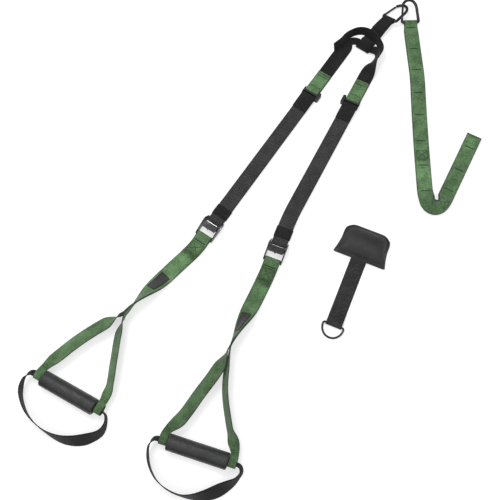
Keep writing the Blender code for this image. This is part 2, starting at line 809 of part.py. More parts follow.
def make_main_strap(side, course):
    """The rear layer of a leg: half the cross strap, the run down and the turn round the base bar."""
    fold = course.length - AXLE_AT + BASE_WIDTH / 2 - BASE_THICK / 2
    base = WRAP_RADIUS
    profile = [(CROSS_GAP, 0.0), (fold, 0.0)]
    profile += wrap(fold, base, base, -90.0, 180.0)
    profile.append((course.length - AXLE_AT - LAYER_GAP, 2 * base))
    turned = TUBE_RUN + LEFT_TURN
    widths = ((turned - STACK_RAMP, CROSS_WIDTH), (turned + STACK_RAMP, WEB_WIDTH))
    return webbing(side + "_main_strap", course, profile, "black_webbing", widths)


def make_front_strap(side, course):
    """The front layer of a leg, from the cam up to the adjuster."""
    under_cam = course.length - AXLE_AT
    keeper = course.length - PLATE_END - KEEPER_TO_BUCKLE
    middle = course.length - ADJUSTER_TO_BAR
    front = FRONT_LIFT - LEG_LIFT
    clamp = CLAMP_LIFT - LEG_LIFT
    profile = [(under_cam - 2 * LAYER_GAP, clamp)]
    profile += ramp((under_cam - BASE_WIDTH / 2, clamp), (keeper, front))
    sewn_end = middle + SEWN_LENGTH
    profile += ramp((sewn_end + LAYER, front), (sewn_end - SEWN_RAMP, front + LAYER))
    profile.append((middle + SANDWICH, front + LAYER))
    return webbing(side + "_front_strap", course, profile, "grey_webbing")


def make_keeper(side, course):
    """The sewn sleeve that holds both layers together above the buckle."""
    height = 2 * WEB_THICK + 3 * LAYER_GAP
    inner = (WEB_WIDTH / 2 + KEEPER_SLACK, height / 2, WEB_THICK / 2)
    outer = (inner[0] + KEEPER_WALL, inner[1] + KEEPER_WALL, inner[2] + KEEPER_WALL)
    curve = outline_curve(side + "_keeper", [rounded_box(*outer), rounded_box(*inner)], KEEPER_LENGTH)
    at = course.length - PLATE_END - KEEPER_TO_BUCKLE - KEEPER_LENGTH / 2
    place = course.matrix(at, HALF_LAYER) @ Matrix.Rotation(math.pi / 2, 4, "X")
    return add(side + "_keeper", curve, "black_webbing", place)


def make_buckle(side, course):
    """Cam buckle: side plates, base bar and lower bar, a toothed cam lever on a riveted axle."""
    floor = course.matrix(course.length, -LEG_LIFT)
    name = side + "_buckle"
    plate_ring = hull_outline((
        (0.0, BAR_LIFT, PLATE_FOOT),
        (-AXLE_AT, AXLE_LIFT, PLATE_CROWN),
        (-PLATE_END + PLATE_TAIL, BASE_LIFT, PLATE_TAIL),
        (-AXLE_AT, PLATE_TAIL + LAYER_GAP, PLATE_TAIL),
    ))
    upright = Matrix(((0, 0, 1, 0), (1, 0, 0, 0), (0, 1, 0, 0), (0, 0, 0, 1)))
    pieces = []
    for hand in (-1, 1):
        offset = hand * (BUCKLE_INNER + BUCKLE_WALL) / 2
        mesh = as_mesh(outline_curve(name, [plate_ring], BUCKLE_WALL), name)
        mesh.transform(Matrix.Translation((offset, 0.0, 0.0)) @ upright)
        pieces.append(mesh)
    span = BUCKLE_INNER + BUCKLE_WALL
    bar = rod_mesh(name, (0.0, 0.0, BAR_LIFT), BAR_RADIUS, span)
    flat = hull_outline((
        (-AXLE_AT - BASE_WIDTH / 2 + BASE_THICK / 2, BASE_LIFT, BASE_THICK / 2),
        (-AXLE_AT + BASE_WIDTH / 2 - BASE_THICK / 2, BASE_LIFT, BASE_THICK / 2),
    ), 12)
    base = as_mesh(outline_curve(name, [flat], span), name)
    base.transform(upright)
    frame = add(side + "_buckle_frame", pieces[0], "black_metal", floor)
    helpers = [cutter(name + str(index), mesh, floor) for index, mesh in enumerate([pieces[1], bar, base])]
    joined(frame, "UNION", helpers)
    hole_length = BUCKLE_INNER + 2 * BUCKLE_WALL + 2 * OVERRUN
    centre = (0.0, -AXLE_AT, AXLE_LIFT)
    hole = rod_mesh(name, centre, AXLE_RADIUS + LAYER_GAP, hole_length, 16)
    joined(frame, "DIFFERENCE", [cutter(name + "_axle_hole", hole, floor)])

    pin_length = BUCKLE_INNER + 2 * BUCKLE_WALL + 2 * LAYER_GAP
    pin = rod_mesh(name, centre, AXLE_RADIUS, pin_length + 2 * RIVET_HEAD, 16)
    axle = add(side + "_buckle_axle", pin, "steel", floor)
    heads = []
    for hand in (-1, 1):
        head_at = (hand * (pin_length + RIVET_HEAD) / 2, -AXLE_AT, AXLE_LIFT)
        head = rod_mesh(name, head_at, RIVET_RADIUS, RIVET_HEAD, 16)
        heads.append(cutter(name + "_rivet" + str(hand + 1), head, floor))
    joined(axle, "UNION", heads)

    lever = make_lever(side, floor, upright)
    swing = floor @ Matrix.Translation(centre) @ Matrix.Rotation(math.pi, 4, "Z")
    hang([lever], pivot(side + "_lever_pivot", swing))
    return [frame, axle]


def make_lever(side, floor, upright):
    """The cam: a toothed barrel on the axle, with a thumb plate that reaches over the window."""
    name = side + "_lever"
    outer = LOBE_RADIUS
    ring = []
    tooth_span = (TOOTH_COUNT - 1) * TOOTH_PITCH / 2
    start = 90.0 - math.degrees(math.asin((outer - LEVER_THICK) / outer))
    thumb = outer - LEVER_THICK
    ring.append((LEVER_REACH, outer + LEVER_RISE))
    for angle in range(90, 270 - int(tooth_span), 15):
        ring.append((outer * math.cos(math.radians(angle)), outer * math.sin(math.radians(angle))))
    for tooth in range(TOOTH_COUNT):
        middle = 270.0 - tooth_span + tooth * TOOTH_PITCH
        for shift, reach in ((-TOOTH_PITCH / 3, 0.0), (0.0, TOOTH), (TOOTH_PITCH / 3, 0.0)):
            turn = math.radians(middle + shift)
            ring.append(((outer + reach) * math.cos(turn), (outer + reach) * math.sin(turn)))
    for angle in range(315, 361 + int(start), 15):
        if angle - 360.0 < 90.0 - start:
            ring.append((outer * math.cos(math.radians(angle)), outer * math.sin(math.radians(angle))))
    ring.append((LEVER_REACH * 0.55, thumb))
    ring.append((LEVER_REACH, thumb + LEVER_RISE))
    mesh = as_mesh(outline_curve(name, [ring], LEVER_WIDTH), name)
    mesh.transform(Matrix.Translation((0.0, -AXLE_AT, AXLE_LIFT)) @ upright)
    lever = add(side + "_cam_lever", mesh, "black_metal", floor)

    tip = LEVER_REACH - TONGUE_RADIUS + TONGUE_REACH
    low = thumb + LEVER_RISE * tip / LEVER_REACH
    tongue = rod_mesh(name, (0.0, 0.0, 0.0), TONGUE_RADIUS, LEVER_THICK * 0.8, 16)
    tongue.transform(Matrix.Rotation(math.pi / 2, 4, "Y"))
    tongue.transform(Matrix.Translation((0.0, tip - AXLE_AT, AXLE_LIFT + low + LEVER_THICK / 2)))
    joined(lever, "UNION", [cutter(name + "_tongue", tongue, floor)])
    bore = rod_mesh(name, (0.0, -AXLE_AT, AXLE_LIFT), AXLE_RADIUS + LAYER_GAP, LEVER_WIDTH + 2 * OVERRUN, 16)
    half = AXLE_WINDOW / 2
    slot = block_mesh(
        name,
        (-half, -AXLE_AT - AXLE_WINDOW_GAP / 2, AXLE_LIFT),
        (half, -AXLE_AT + AXLE_WINDOW_GAP / 2, AXLE_LIFT + LOBE_RADIUS + OVERRUN),
    )
    cuts = [cutter(name + "_bore", bore, floor), cutter(name + "_window", slot, floor)]
    joined(lever, "DIFFERENCE", cuts)
    return lever


def make_adjuster(side, course, hand):
    """Moulded slide on the strap, the webbing tab above it and the sewn end of the front layer below."""
    middle = course.length - ADJUSTER_TO_BAR
    floor = course.matrix(middle, -LEG_LIFT) @ Matrix.Translation((hand * ADJUSTER_SHIFT, 0.0, 0.0))
    name = side + "_adjuster"
    half_x = ADJUSTER_WIDTH / 2
    half_y = ADJUSTER_LENGTH / 2
    solid = as_mesh(outline_curve(name, [rounded_box(half_x, half_y, ADJUSTER_ROUND)], ADJUSTER_TOP), name)
    solid.transform(Matrix.Translation((0.0, 0.0, ADJUSTER_TOP / 2)))
    slide = add(side + "_adjuster_slide", solid, "black_plastic", floor)
    inner = ADJUSTER_INNER / 2
    centre = -hand * ADJUSTER_SHIFT
    deck = FRONT_LIFT - WEB_THICK / 2 - LAYER_GAP / 2
    cuts = [block_mesh(name, (centre - inner, -half_y - OVERRUN, ADJUSTER_FLOOR),
                       (centre + inner, half_y + OVERRUN, deck + LAYER_GAP))]
    for way in (-1, 1):
        near = way * ADJUSTER_BRIDGE / 2
        far = way * (half_y + OVERRUN)
        low_y, high_y = min(near, far), max(near, far)
        cuts.append(block_mesh(name, (centre - inner, low_y, deck),
                               (centre + inner, high_y, ADJUSTER_TOP + OVERRUN)))
    joined(slide, "DIFFERENCE", [cutter(name + "_cut" + str(i), mesh, floor) for i, mesh in enumerate(cuts)])
    bars = []
    for way in (-1, 1):
        at = (0.0, way * ADJUSTER_BAR_AT, ADJUSTER_BAR_LIFT)
        bar = rod_mesh(name, at, ADJUSTER_BAR / 2, ADJUSTER_WIDTH - 2 * ADJUSTER_FLOOR, 14)
        bars.append(cutter(name + "_bar" + str(way + 1), bar, floor))
    joined(slide, "UNION", bars)

    lift = FRONT_LIFT - LEG_LIFT
    bar = middle - ADJUSTER_BAR_AT
    rise = ADJUSTER_EYE
    top = middle - TAB_LENGTH
    profile = ramp((top, lift), (bar, lift), 1)
    profile += wrap(bar, lift + rise, rise, -90.0, 180.0)
    profile += ramp((bar, lift + 2 * rise), (bar - STACK_RAMP, lift + LAYER))
    profile.append((top, lift + LAYER))
    tab = webbing(side + "_tab", course, profile, "green_webbing", ((0.0, TAB_WIDTH),))

    bar = middle + ADJUSTER_BAR_AT
    low_end = middle + SEWN_LENGTH - SEWN_RAMP - LAYER
    profile = ramp((low_end, lift), (bar, lift), 1)
    profile += wrap(bar, lift + rise, rise, -90.0, -180.0)
    profile += ramp((bar, lift + 2 * rise), (middle + SANDWICH + LAYER, lift + 2 * LAYER))
    ramp_at = middle + SEWN_LENGTH - SEWN_RAMP
    profile += ramp((ramp_at, lift + 2 * LAYER), (middle + SEWN_LENGTH, lift + LAYER + LAYER_GAP))
    sewn = webbing(side + "_sewn_end", course, profile, "black_webbing", ((0.0, SEWN_WIDTH),))
    return [slide, tab, sewn]


def make_locking_loop(left, right):
    """The webbing loop, on edge, from one leg over the body strap to the other leg."""
    origin, across, _, _ = left.frame(LOCK_LEFT_AT)
    start = origin + across * (WEB_WIDTH / 2 + WEB_THICK / 2 + LOCK_SEAT)
    end_origin, _, _, end_normal = right.frame(LOCK_RIGHT_AT)
    end = end_origin - end_normal.normalized() * (WEB_THICK + LOCK_SEAT)
    points = [start]
    points += [EQUALIZER_AT + Vector((x * LOCK_REACH, y * LOCK_REACH, 0.0)) for x, y in LOCK_SHARES]
    points.append(end)
    flat = [Vector((p.x, p.y, 0.0)) for p in points]
    above = WEB_THICK / 2 + 2 * LAYER_GAP + LOCK_HEIGHT / 2
    lifts = (
        (0.0, LEG_LIFT + above),
        (0.10, TUBE_LIFT + above),
        (0.28, TUBE_LIFT + above),
        (0.45, LOCK_OVER),
        (0.70, LOCK_OVER),
        (1.0, end_origin.z),
    )
    course = LineCourse(flat, lifts, ((0.5, LOCK_ROLL), (1.0, keyed(right.rolls, LOCK_RIGHT_AT))))
    profile = [(0.0, 0.0), (course.length, 0.0)]
    return webbing("locking_loop", course, profile, "black_webbing", ((0.0, LOCK_HEIGHT),))


def grip_place(bar, offset, axis):
    """The grip's middle and the direction of its axis."""
    centre = Vector((bar.x + offset.x, bar.y + offset.y, GRIP_RADIUS))
    return centre, heading_vector(axis)


def make_grip(side, centre, axis):
    """Foam sleeve on a hard tube, turned about the grip's axis."""
    away = axis.cross(ALONG_Z)
    place = Matrix((away, ALONG_Z, axis)).transposed().to_4x4()
    if place.to_3x3().determinant() < 0:
        place = Matrix((-away, ALONG_Z, axis)).transposed().to_4x4()
    place.translation = centre
    half = GRIP_LENGTH / 2
    profile = [(GRIP_BORE, -half), (GRIP_BORE, half)]
    for step in range(5):
        angle = math.radians(90.0 - 22.5 * step)
        radius = GRIP_RADIUS - GRIP_END_ROUND * (1 - math.cos(angle))
        profile.append((radius, half - GRIP_END_ROUND * (1 - math.sin(angle))))
    ends = profile[2:]
    profile += [(radius, -height) for radius, height in ends[::-1]]
    foam = turned_grip(side + "_grip", "grip_foam", profile, place)
    half -= CORE_RECESS
    tube = [(CORE_BORE, -half), (CORE_BORE, half), (CORE_RADIUS, half), (CORE_RADIUS, -half)]
    core = turned_grip(side + "_grip_core", "black_plastic", tube, place)
    spin = place @ Matrix.Rotation(math.pi / 2, 4, "Y")
    hang([foam, core], pivot(side + "_grip_pivot", spin))
    return foam, core


def make_cradle(side, centre, axis, shares, roll_shares):
    """Foot cradle: webbing on edge from one mouth of the grip round to the other, its necks in the bore."""
    away = axis.cross(ALONG_Z)
    half = GRIP_LENGTH / 2
    neck = half + NECK_LENGTH
    inside = half - CORE_STUB
    straight = neck - NECK_LENGTH / 2
    spots = [(-inside, 0.0), (-half, 0.0), (-straight, 0.0), (-neck, 0.0)]
    spots += [(a * CRADLE_HALF, b * CRADLE_DEPTH) for a, b in shares]
    spots += [(neck, 0.0), (straight, 0.0), (half, 0.0), (inside, 0.0)]
    points = [centre + axis * a + away * b for a, b in spots]
    flat = [Vector((p.x, p.y, 0.0)) for p in points]
    course = LineCourse(flat, ((0.0, GRIP_RADIUS), (1.0, GRIP_RADIUS)), ((0.0, 90.0), (1.0, 90.0)))
    open_at = CORE_STUB + NECK_LENGTH
    last = course.length
    free = last - 2 * open_at
    course.lifts = [(open_at, GRIP_RADIUS), (open_at + NECK_LENGTH, CRADLE_LIFT),
                    (last - open_at - NECK_LENGTH, CRADLE_LIFT), (last - open_at, GRIP_RADIUS)]
    course.rolls = [(open_at + share * free, 90.0 * value) for share, value in roll_shares]
    narrow = open_at + CRADLE_NARROW
    wide = narrow + CRADLE_WIDEN
    widths = (
        (narrow, NECK_WIDTH),
        (wide, CRADLE_WIDTH),
        (last - wide, CRADLE_WIDTH),
        (last - narrow, NECK_WIDTH),
    )
    cradle = webbing(side + "_foot_cradle", course, [(0.0, 0.0), (last, 0.0)], "black_webbing", widths)
    swing = Matrix((axis, away, axis.cross(away))).transposed().to_4x4()
    swing.translation = centre
    hang([cradle], pivot(side + "_cradle_pivot", swing))
    return cradle


def arm_course(trunk, side_offset, via, eye, away, final_roll):
    """The centre line of one arm, from the split of the yoke to its eye on the grip's neck."""
    origin, _, _, normal = trunk.frame(trunk.length)
    start = origin + normal.normalized() * side_offset
    points = [start] + via + [eye - away * 1.6 * NECK_EYE, eye]
    flat = [Vector((p.x, p.y, 0.0)) for p in points]
    lifts = ((0.0, origin.z), (0.25, origin.z), (0.80, GRIP_RADIUS), (1.0, GRIP_RADIUS))
    rolls = ((0.0, YOKE_ROLL), (0.02, YOKE_ROLL), (0.22, final_roll), (0.72, final_roll), (0.93, 0.0))
    return LineCourse(flat, lifts, rolls)


def make_arm_end(course, from_at):
    """The last stretch of an arm: over the neck, round it and back under, sewn to itself."""
    end = course.length
    profile = [(from_at, 0.0), (end - 2 * YOKE_RAMP, 0.0)]
    profile += ramp((end - 2 * YOKE_RAMP, 0.0), (end, NECK_EYE), 5)
    profile += wrap(end, 0.0, NECK_EYE, 90.0, -180.0)
    profile += ramp((end, -NECK_EYE), (end - ARM_TAIL, -NECK_EYE / 2), 3)
    return profile


class Handle:
    """The green yoke of one leg, its grip and its foot cradle."""

    def __init__(self, side, leg, length, heading, turn, grip_offset, grip_axis, patch_row):
        self.side = side
        self.leg = leg
        origin, _, along, _ = leg.frame(leg.length)
        bearing = math.degrees(math.atan2(along.y, along.x))
        flat = ON_FLOOR + LAYER_GAP
        lifts = (
            (0.0, BAR_LIFT),
            (2 * YOKE_RAMP, flat),
        )
        rolls = ((length - 1.6 * YOKE_SPLIT, 0.0), (length, YOKE_ROLL))
        arcs = [(YOKE_START, 0.0), (YOKE_BEND, heading), (length - YOKE_START - YOKE_BEND, turn)]
        self.trunk = ArcCourse(origin, bearing, arcs, lifts, rolls)
        self.centre, self.axis = grip_place(origin, grip_offset, grip_axis)
        self.away = self.axis.cross(ALONG_Z)
        self.patch_row = patch_row

    def eye(self, hand):
        """The middle of an arm's eye, just outside the mouth of the grip."""
        reach = GRIP_LENGTH / 2 + NECK_EYE_GAP + ARM_EYE_WIDTH / 2
        return self.centre + self.axis * hand * reach

    def make(self, via_left, via_right, rolls, shares, roll_shares):
        """Builds the handle. Places on an arm are shares of the way to its eye, with a sideways share."""
        trunk = self.trunk
        split = trunk.frame(trunk.length)[0]
        courses = []
        for hand, via, roll in ((-1, via_left, rolls[0]), (1, via_right, rolls[1])):
            eye = self.eye(hand)
            reach = eye - split
            sideways = Vector((-reach.y, reach.x, 0.0))
            spots = [split + reach * ahead + sideways * aside for ahead, aside in via]
            offset = LAYER if hand < 0 else 0.0
            courses.append(arm_course(trunk, offset, spots, eye, self.away, roll))
        front = [(YOKE_TAIL, 2 * LAYER)]
        front += ramp((YOKE_RAMP + LAYER, 2 * LAYER), (0.0, YOKE_EYE))
        front += wrap(0.0, 0.0, YOKE_EYE, 90.0, 180.0)
        front += ramp((0.0, -YOKE_EYE), (YOKE_RAMP, 0.0))
        right_arm = self.ribbon(self.side + "_yoke", front, 0.0, courses[1])
        rear = [(2 * YOKE_RAMP, LAYER)]
        left_arm = self.ribbon(self.side + "_yoke_front", rear, LAYER, courses[0])
        patch_rows = (self.patch_row, self.patch_row + PATCH_ROWS)
        lift = LAYER + WEB_THICK / 2 + 2 * LAYER_GAP + PATCH_THICK / 2
        patch = webbing(self.side + "_patch", trunk, [(row * ROW_SPACING, lift) for row in patch_rows],
                        "patch_cloth", ((0.0, PATCH_WIDTH),), PATCH_THICK)
        swing = self.leg.matrix(self.leg.length, BAR_LIFT - LEG_LIFT)
        hang([right_arm, left_arm, patch], pivot(self.side + "_yoke_pivot", swing))
        make_grip(self.side, self.centre, self.axis)
        make_cradle(self.side, self.centre, self.axis, shares, roll_shares)

    def ribbon(self, name, head, height, arm):
        """One strap of the yoke: its start at the buckle, its run down the trunk and its arm."""
        trunk = self.trunk
        chain = ChainCourse(trunk, arm, height)
        profile = list(head) + [(trunk.length, height)]
        profile += [(trunk.length + at, rise) for at, rise in make_arm_end(arm, YOKE_RAMP)]
        last = trunk.length + arm.length
        widths = ((last - 5 * YOKE_RAMP, WEB_WIDTH), (last - 1.4 * YOKE_RAMP, ARM_EYE_WIDTH))
        return webbing(name, chain, profile, "green_webbing", widths)


class ChainCourse(Course):
    """A trunk and the arm that leaves its end, read as one course. A layer's height fades out on the arm."""

    def __init__(self, trunk, arm, height):
        super().__init__((), ())
        self.trunk = trunk
        self.arm = arm
        self.height = height

    def frame(self, at):
        if at <= self.trunk.length:
            return self.trunk.frame(at)
        return self.arm.frame(at - self.trunk.length)


def make_door_anchor():
    """Padded block, its strap and the ring on the strap's end."""
    heading = heading_vector(PAD_HEADING)
    lifts = (
        (0.0, PAD_EDGE),
        (2 * STACK_RAMP, ON_FLOOR),
        (DOOR_STRAP - 3 * STACK_RAMP, ON_FLOOR),
        (DOOR_STRAP, RING_LIFT),
    )
    course = ArcCourse(PAD_AT, PAD_HEADING, [(DOOR_STRAP, 0.0)], lifts)
    end = course.length
    profile = [(LAYER_GAP, 0.0), (end - DOOR_STACK - LAYER, 0.0)]
    profile += ramp((end - DOOR_STACK - LAYER, 0.0), (end, -RING_EYE))[1:]
    profile += wrap(end, 0.0, RING_EYE, -90.0, 180.0)
    profile += ramp((end, RING_EYE), (end - DOOR_STACK, LAYER))
    profile.append((end - DOOR_TAIL, LAYER))
    strap = webbing("door_strap", course, profile, "grey_webbing")

    bm = bmesh.new()
    bmesh.ops.create_cube(bm, size=2.0)
    for _ in range(3):
        bmesh.ops.subdivide_edges(bm, edges=bm.edges[:], cuts=1, use_grid_fill=True)
    half_w = PAD_WIDTH / 2
    half_h = PAD_HEIGHT / 2
    for vert in bm.verts:
        u, v, w = vert.co
        top = 0.5 * (v + 1.0)
        wide = half_w * (1.0 - (1.0 - PAD_TOP_SHARE) * smooth(top)) * (1.0 - PAD_WAIST_SHARE * (1.0 - v * v))
        wide -= PAD_CORNER * PAD_CORNER_SHARE * max(0.0, 2.0 * v - 1.0) ** 2
        drop = PAD_CORNER * max(0.0, 2.5 * abs(u) - 1.5) ** 2
        x, y = u * wide, v * half_h - drop * top
        crown = (1.0 - u ** 4) * (1.0 - v * v)
        height = PAD_EDGE + (PAD_CROWN - PAD_EDGE) * crown
        z = height * (0.5 + 0.5 * w) if w > 0 else PAD_EDGE * 0.5 * (1.0 + w) * (1.0 - crown)
        vert.co = Vector((x, y + half_h, z))
    mesh = mesh_from(bm, "door_pad")
    across = heading.cross(ALONG_Z)
    place = Matrix((-across, -heading, ALONG_Z)).transposed().to_4x4()
    place.translation = PAD_AT
    pad = add("door_pad", mesh, "pad_cloth", place)
    mesh.shade_smooth()

    floor = course.matrix(end)
    ring_drop = Matrix.Rotation(-math.atan2(RING_LIFT - RING_WIRE - LAYER_GAP, RING_DEPTH), 4, "X")
    corner = RING_CORNER
    route = [Vector((0.0, 0.0, 0.0))]
    route += arc_points((RING_HALF - corner, corner), corner, corner, 270.0, 350.0, 3)
    route += arc_points((0.0, corner), RING_HALF, RING_DEPTH - corner, 0.0, 180.0, 14)
    route += arc_points((-RING_HALF + corner, corner), corner, corner, 190.0, 270.0, 3)
    wire = wire_curve("door_ring", route, RING_WIRE, cyclic=True)
    ring = add("door_ring", wire, "black_metal", floor @ ring_drop)
    hang([ring], pivot("door_ring_pivot", floor))
    return [strap, pad]


def recentre():
    """Moves the whole layout so that its box stands centred on the origin."""
    bpy.context.view_layer.update()
    graph = bpy.context.evaluated_depsgraph_get()
    low = Vector((math.inf,) * 3)
    high = Vector((-math.inf,) * 3)
    for made in bpy.data.collections[PARTS].objects:
        if made.type == "EMPTY":
            continue
        shape = made.evaluated_get(graph)
        mesh = shape.to_mesh()
        for vert in mesh.vertices:
            spot = shape.matrix_world @ vert.co
            low = Vector(map(min, low, spot))
            high = Vector(map(max, high, spot))
        shape.to_mesh_clear()
    middle = (low + high) / 2
    back = Matrix.Translation((-middle.x, -middle.y, -low.z))
    for name in (PARTS, CUTTERS):
        for made in bpy.data.collections[name].objects:
            if made.parent is None:
                made.matrix_world = back @ made.matrix_world
    print("layout moved by", tuple(round(value, 5) for value in back.translation))


def main():
    for made in list(bpy.data.objects):
        bpy.data.objects.remove(made)
    collection(PARTS)
    collection(CUTTERS)

    body = body_strap_course()
    make_body_strap(body)
    carabiner("lower", body.matrix(body.length), LOWER_PITCH)
    link = body.plan(body.length)
    anchor = anchor_course(link + ANCHOR_OFFSET)
    make_anchor_strap(anchor)
    about = Matrix.Rotation(math.pi, 4, "Z")
    carabiner("upper", anchor.matrix(0.0) @ about, UPPER_PITCH)

    left, right = leg_courses()
    make_locking_loop(left, right)
    for side, course, hand in (("left", left, -1), ("right", right, 1)):
        make_main_strap(side, course)
        make_front_strap(side, course)
        carried = [make_keeper(side, course)] + make_buckle(side, course)
        hang(carried, pivot(side + "_length_pivot", course.matrix(course.length - AXLE_AT)))
        moved = make_adjuster(side, course, hand)
        hang(moved, pivot(side + "_adjuster_pivot", course.matrix(course.length - ADJUSTER_TO_BAR)))

    handle = Handle("left", left, YOKE_LEFT, YOKE_LEFT_HEADING, YOKE_LEFT_TURN,
                    GRIP_LEFT_OFFSET, GRIP_LEFT_AXIS, PATCH_LEFT_ROW)
    handle.make(ARM_LEFT_OUTER_SHARES, ARM_LEFT_INNER_SHARES, ARM_LEFT_ROLLS,
                CRADLE_LEFT_SHARES, CRADLE_LEFT_ROLL_SHARES)
    handle = Handle("right", right, YOKE_RIGHT, YOKE_RIGHT_HEADING, YOKE_RIGHT_TURN,
                    GRIP_RIGHT_OFFSET, GRIP_RIGHT_AXIS, PATCH_RIGHT_ROW)
    handle.make(ARM_RIGHT_OUTER_SHARES, ARM_RIGHT_INNER_SHARES, ARM_RIGHT_ROLLS,
                CRADLE_RIGHT_SHARES, CRADLE_RIGHT_ROLL_SHARES)
    make_door_anchor()
    recentre()


main()
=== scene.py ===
"""Suspension trainer dressed for its picture: webbing, stitching, metal, foam and a padded door block.

Every soft piece follows the same course over the floor as the solid that it stands for. Lengths are
in metres and angles in degrees.
"""

import logging
import math
from contextlib import contextmanager
from dataclasses import dataclass, field
from enum import Enum
from typing import Callable, Iterator, Optional, Sequence, Union

import bpy
from mathutils import Matrix, Vector
from mathutils.bvhtree import BVHTree


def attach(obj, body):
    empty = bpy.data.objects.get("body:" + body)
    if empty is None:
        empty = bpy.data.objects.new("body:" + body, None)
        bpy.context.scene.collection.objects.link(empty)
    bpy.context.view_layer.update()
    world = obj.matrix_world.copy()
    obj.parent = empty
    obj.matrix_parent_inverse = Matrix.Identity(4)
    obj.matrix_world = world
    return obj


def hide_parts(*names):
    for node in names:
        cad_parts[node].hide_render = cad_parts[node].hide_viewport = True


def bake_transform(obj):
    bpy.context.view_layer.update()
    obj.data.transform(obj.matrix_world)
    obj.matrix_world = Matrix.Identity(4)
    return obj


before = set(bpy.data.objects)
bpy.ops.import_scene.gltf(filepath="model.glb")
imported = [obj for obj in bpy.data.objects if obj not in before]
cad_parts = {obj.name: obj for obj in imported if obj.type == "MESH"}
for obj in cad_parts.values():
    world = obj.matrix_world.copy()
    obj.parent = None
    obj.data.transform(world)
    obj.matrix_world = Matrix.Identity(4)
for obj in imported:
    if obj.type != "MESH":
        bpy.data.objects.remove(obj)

LOG = logging.getLogger("suspension_trainer")
Spot = tuple[float, float]
Table = Sequence[Spot]
Profile = list[Spot]
Triple = tuple[float, float, float]
Frame = tuple[Vector, Vector, Vector, Vector]
Knot = tuple[Vector, float, float, float, float]
Piece = bpy.types.Object
Tree = bpy.types.NodeTree
Node = bpy.types.Node
Socket = bpy.types.NodeSocket
Feed = Union[Socket, float, Sequence[float]]
Outputs = dict[str, Socket]

# The layout, and how finely a course is divided
LAYOUT = Vector((-0.00547, 0.00051, 0.0))
UP = Vector((0.0, 0.0, 1.0))
ABOVE = 0.2
PROBE = 0.0005
ROW_SPACING = 0.006
ROW_TURN = 5.0
WRAP_TURN = 16.0
LINE_STEPS = 12

# Webbing and its layers
WEB_WIDTH = 0.038
WEB_THICK = 0.002
GAP = 0.0003
LAYER = WEB_THICK + GAP
HALF_LAYER = LAYER / 2
ON_FLOOR = WEB_THICK / 2
STACK_RAMP = 0.014

# The end loop that carries the cross strap
TUBE_HALF = 0.0105
TUBE_RADIUS = 0.004
TUBE_LIFT = TUBE_RADIUS + ON_FLOOR
TUBE_RUN = 0.0205
TURN_RUN = 0.0325
CROSS_WIDTH = 0.022
EQUALIZER_AT = Vector((0.2695, 0.496, 0.0)) + LAYOUT
BODY_HEADING = 54.0

# Carabiners and the eyes round them
WIRE_RADIUS = 0.0038
GATE_RADIUS = 0.0029
EYE_WIDTH = 0.034
EYE_TAPER = 0.030
EYE_RADIUS = WIRE_RADIUS + GAP + WEB_THICK / 2

# Keeper
KEEPER_WALL = 0.0013
KEEPER_LENGTH = 0.027
KEEPER_SLACK = 0.0004
LEG_LIFT = KEEPER_WALL + GAP + ON_FLOOR
FRONT_LIFT = LEG_LIFT + LAYER

# Cam buckle
BAR_RADIUS = 0.0032
BASE_WIDTH = 0.014
BASE_THICK = 0.003
AXLE_AT = 0.033
PLATE_END = 0.050
BASE_LIFT = LEG_LIFT + WEB_THICK / 2 + GAP + BASE_THICK / 2
WRAP_RADIUS = BASE_LIFT - LEG_LIFT
CLAMP_LIFT = BASE_LIFT + WRAP_RADIUS
YOKE_EYE = BAR_RADIUS + GAP + WEB_THICK / 2
BAR_LIFT = YOKE_EYE + ON_FLOOR + GAP
KEEPER_TO_BUCKLE = 0.010

# Adjuster
ADJUSTER_TO_BAR = 0.473
ADJUSTER_BAR = 0.003
ADJUSTER_BAR_AT = 0.0072
ADJUSTER_EYE = LAYER + ADJUSTER_BAR / 2 - WEB_THICK / 2
TAB_LENGTH = 0.072
TAB_WIDTH = 0.0365
SEWN_LENGTH = 0.055
SEWN_WIDTH = 0.039
SEWN_RAMP = 0.020
SANDWICH = 0.024

# Grip, and the necks that go into it
GRIP_LENGTH = 0.136
GRIP_RADIUS = 0.0185
GRIP_END_ROUND = 0.0036
GRIP_BORE = 0.014
NECK_WIDTH = 0.015
NECK_LENGTH = 0.0205
NECK_GAP = 0.0005
NECK_EYE = math.hypot(NECK_WIDTH, WEB_THICK) / 2 + 0.0006 + WEB_THICK / 2

# Stitches
PITCH = 0.0034
CLOSE_PITCH = 0.0028
STITCH_WIDTH = 0.0013
WIDE_STITCH = 0.0018
STITCH_ENDS = (0.06, 0.94)
STITCH_REACH = 0.56
TACK_REACH = 0.0029
TACK_STEP = 0.0010
TACK_SLANT = 0.0004


def smooth(share: float) -> float:
    """An even start and stop between 0 and 1."""
    share = min(max(share, 0.0), 1.0)
    return share * share * (3.0 - 2.0 * share)


def keyed(table: Table, at: float) -> float:
    """The value at a place along a table, eased from one entry to the next.

    Args:
        table: Entries of (place, value).
        at: The place.

    Returns:
        The value there.
    """
    if at <= table[0][0]:
        return table[0][1]
    for (low, first), (high, second) in zip(table, table[1:]):
        if at <= high:
            return first + (second - first) * smooth((at - low) / (high - low))
    return table[-1][1]


def level_on(profile: Profile, at: float) -> float:
    """The height of a strap's profile, read in straight lines between its points.

    Args:
        profile: Points of (place, height).
        at: The place.

    Returns:
        The height there.
    """
    ordered = sorted(profile)
    if at <= ordered[0][0]:
        return ordered[0][1]
    for (low, first), (high, second) in zip(ordered, ordered[1:]):
        if at <= high:
            return first + (second - first) * (at - low) / max(high - low, PROBE / 100)
    return ordered[-1][1]


def heading_vector(heading: float) -> Vector:
    """The direction over the floor of a heading."""
    return Vector((math.cos(math.radians(heading)), math.sin(math.radians(heading)), 0.0))


def flat(spot: Vector) -> Vector:
    """The place on the floor under a point."""
    return Vector((spot.x, spot.y, 0.0))


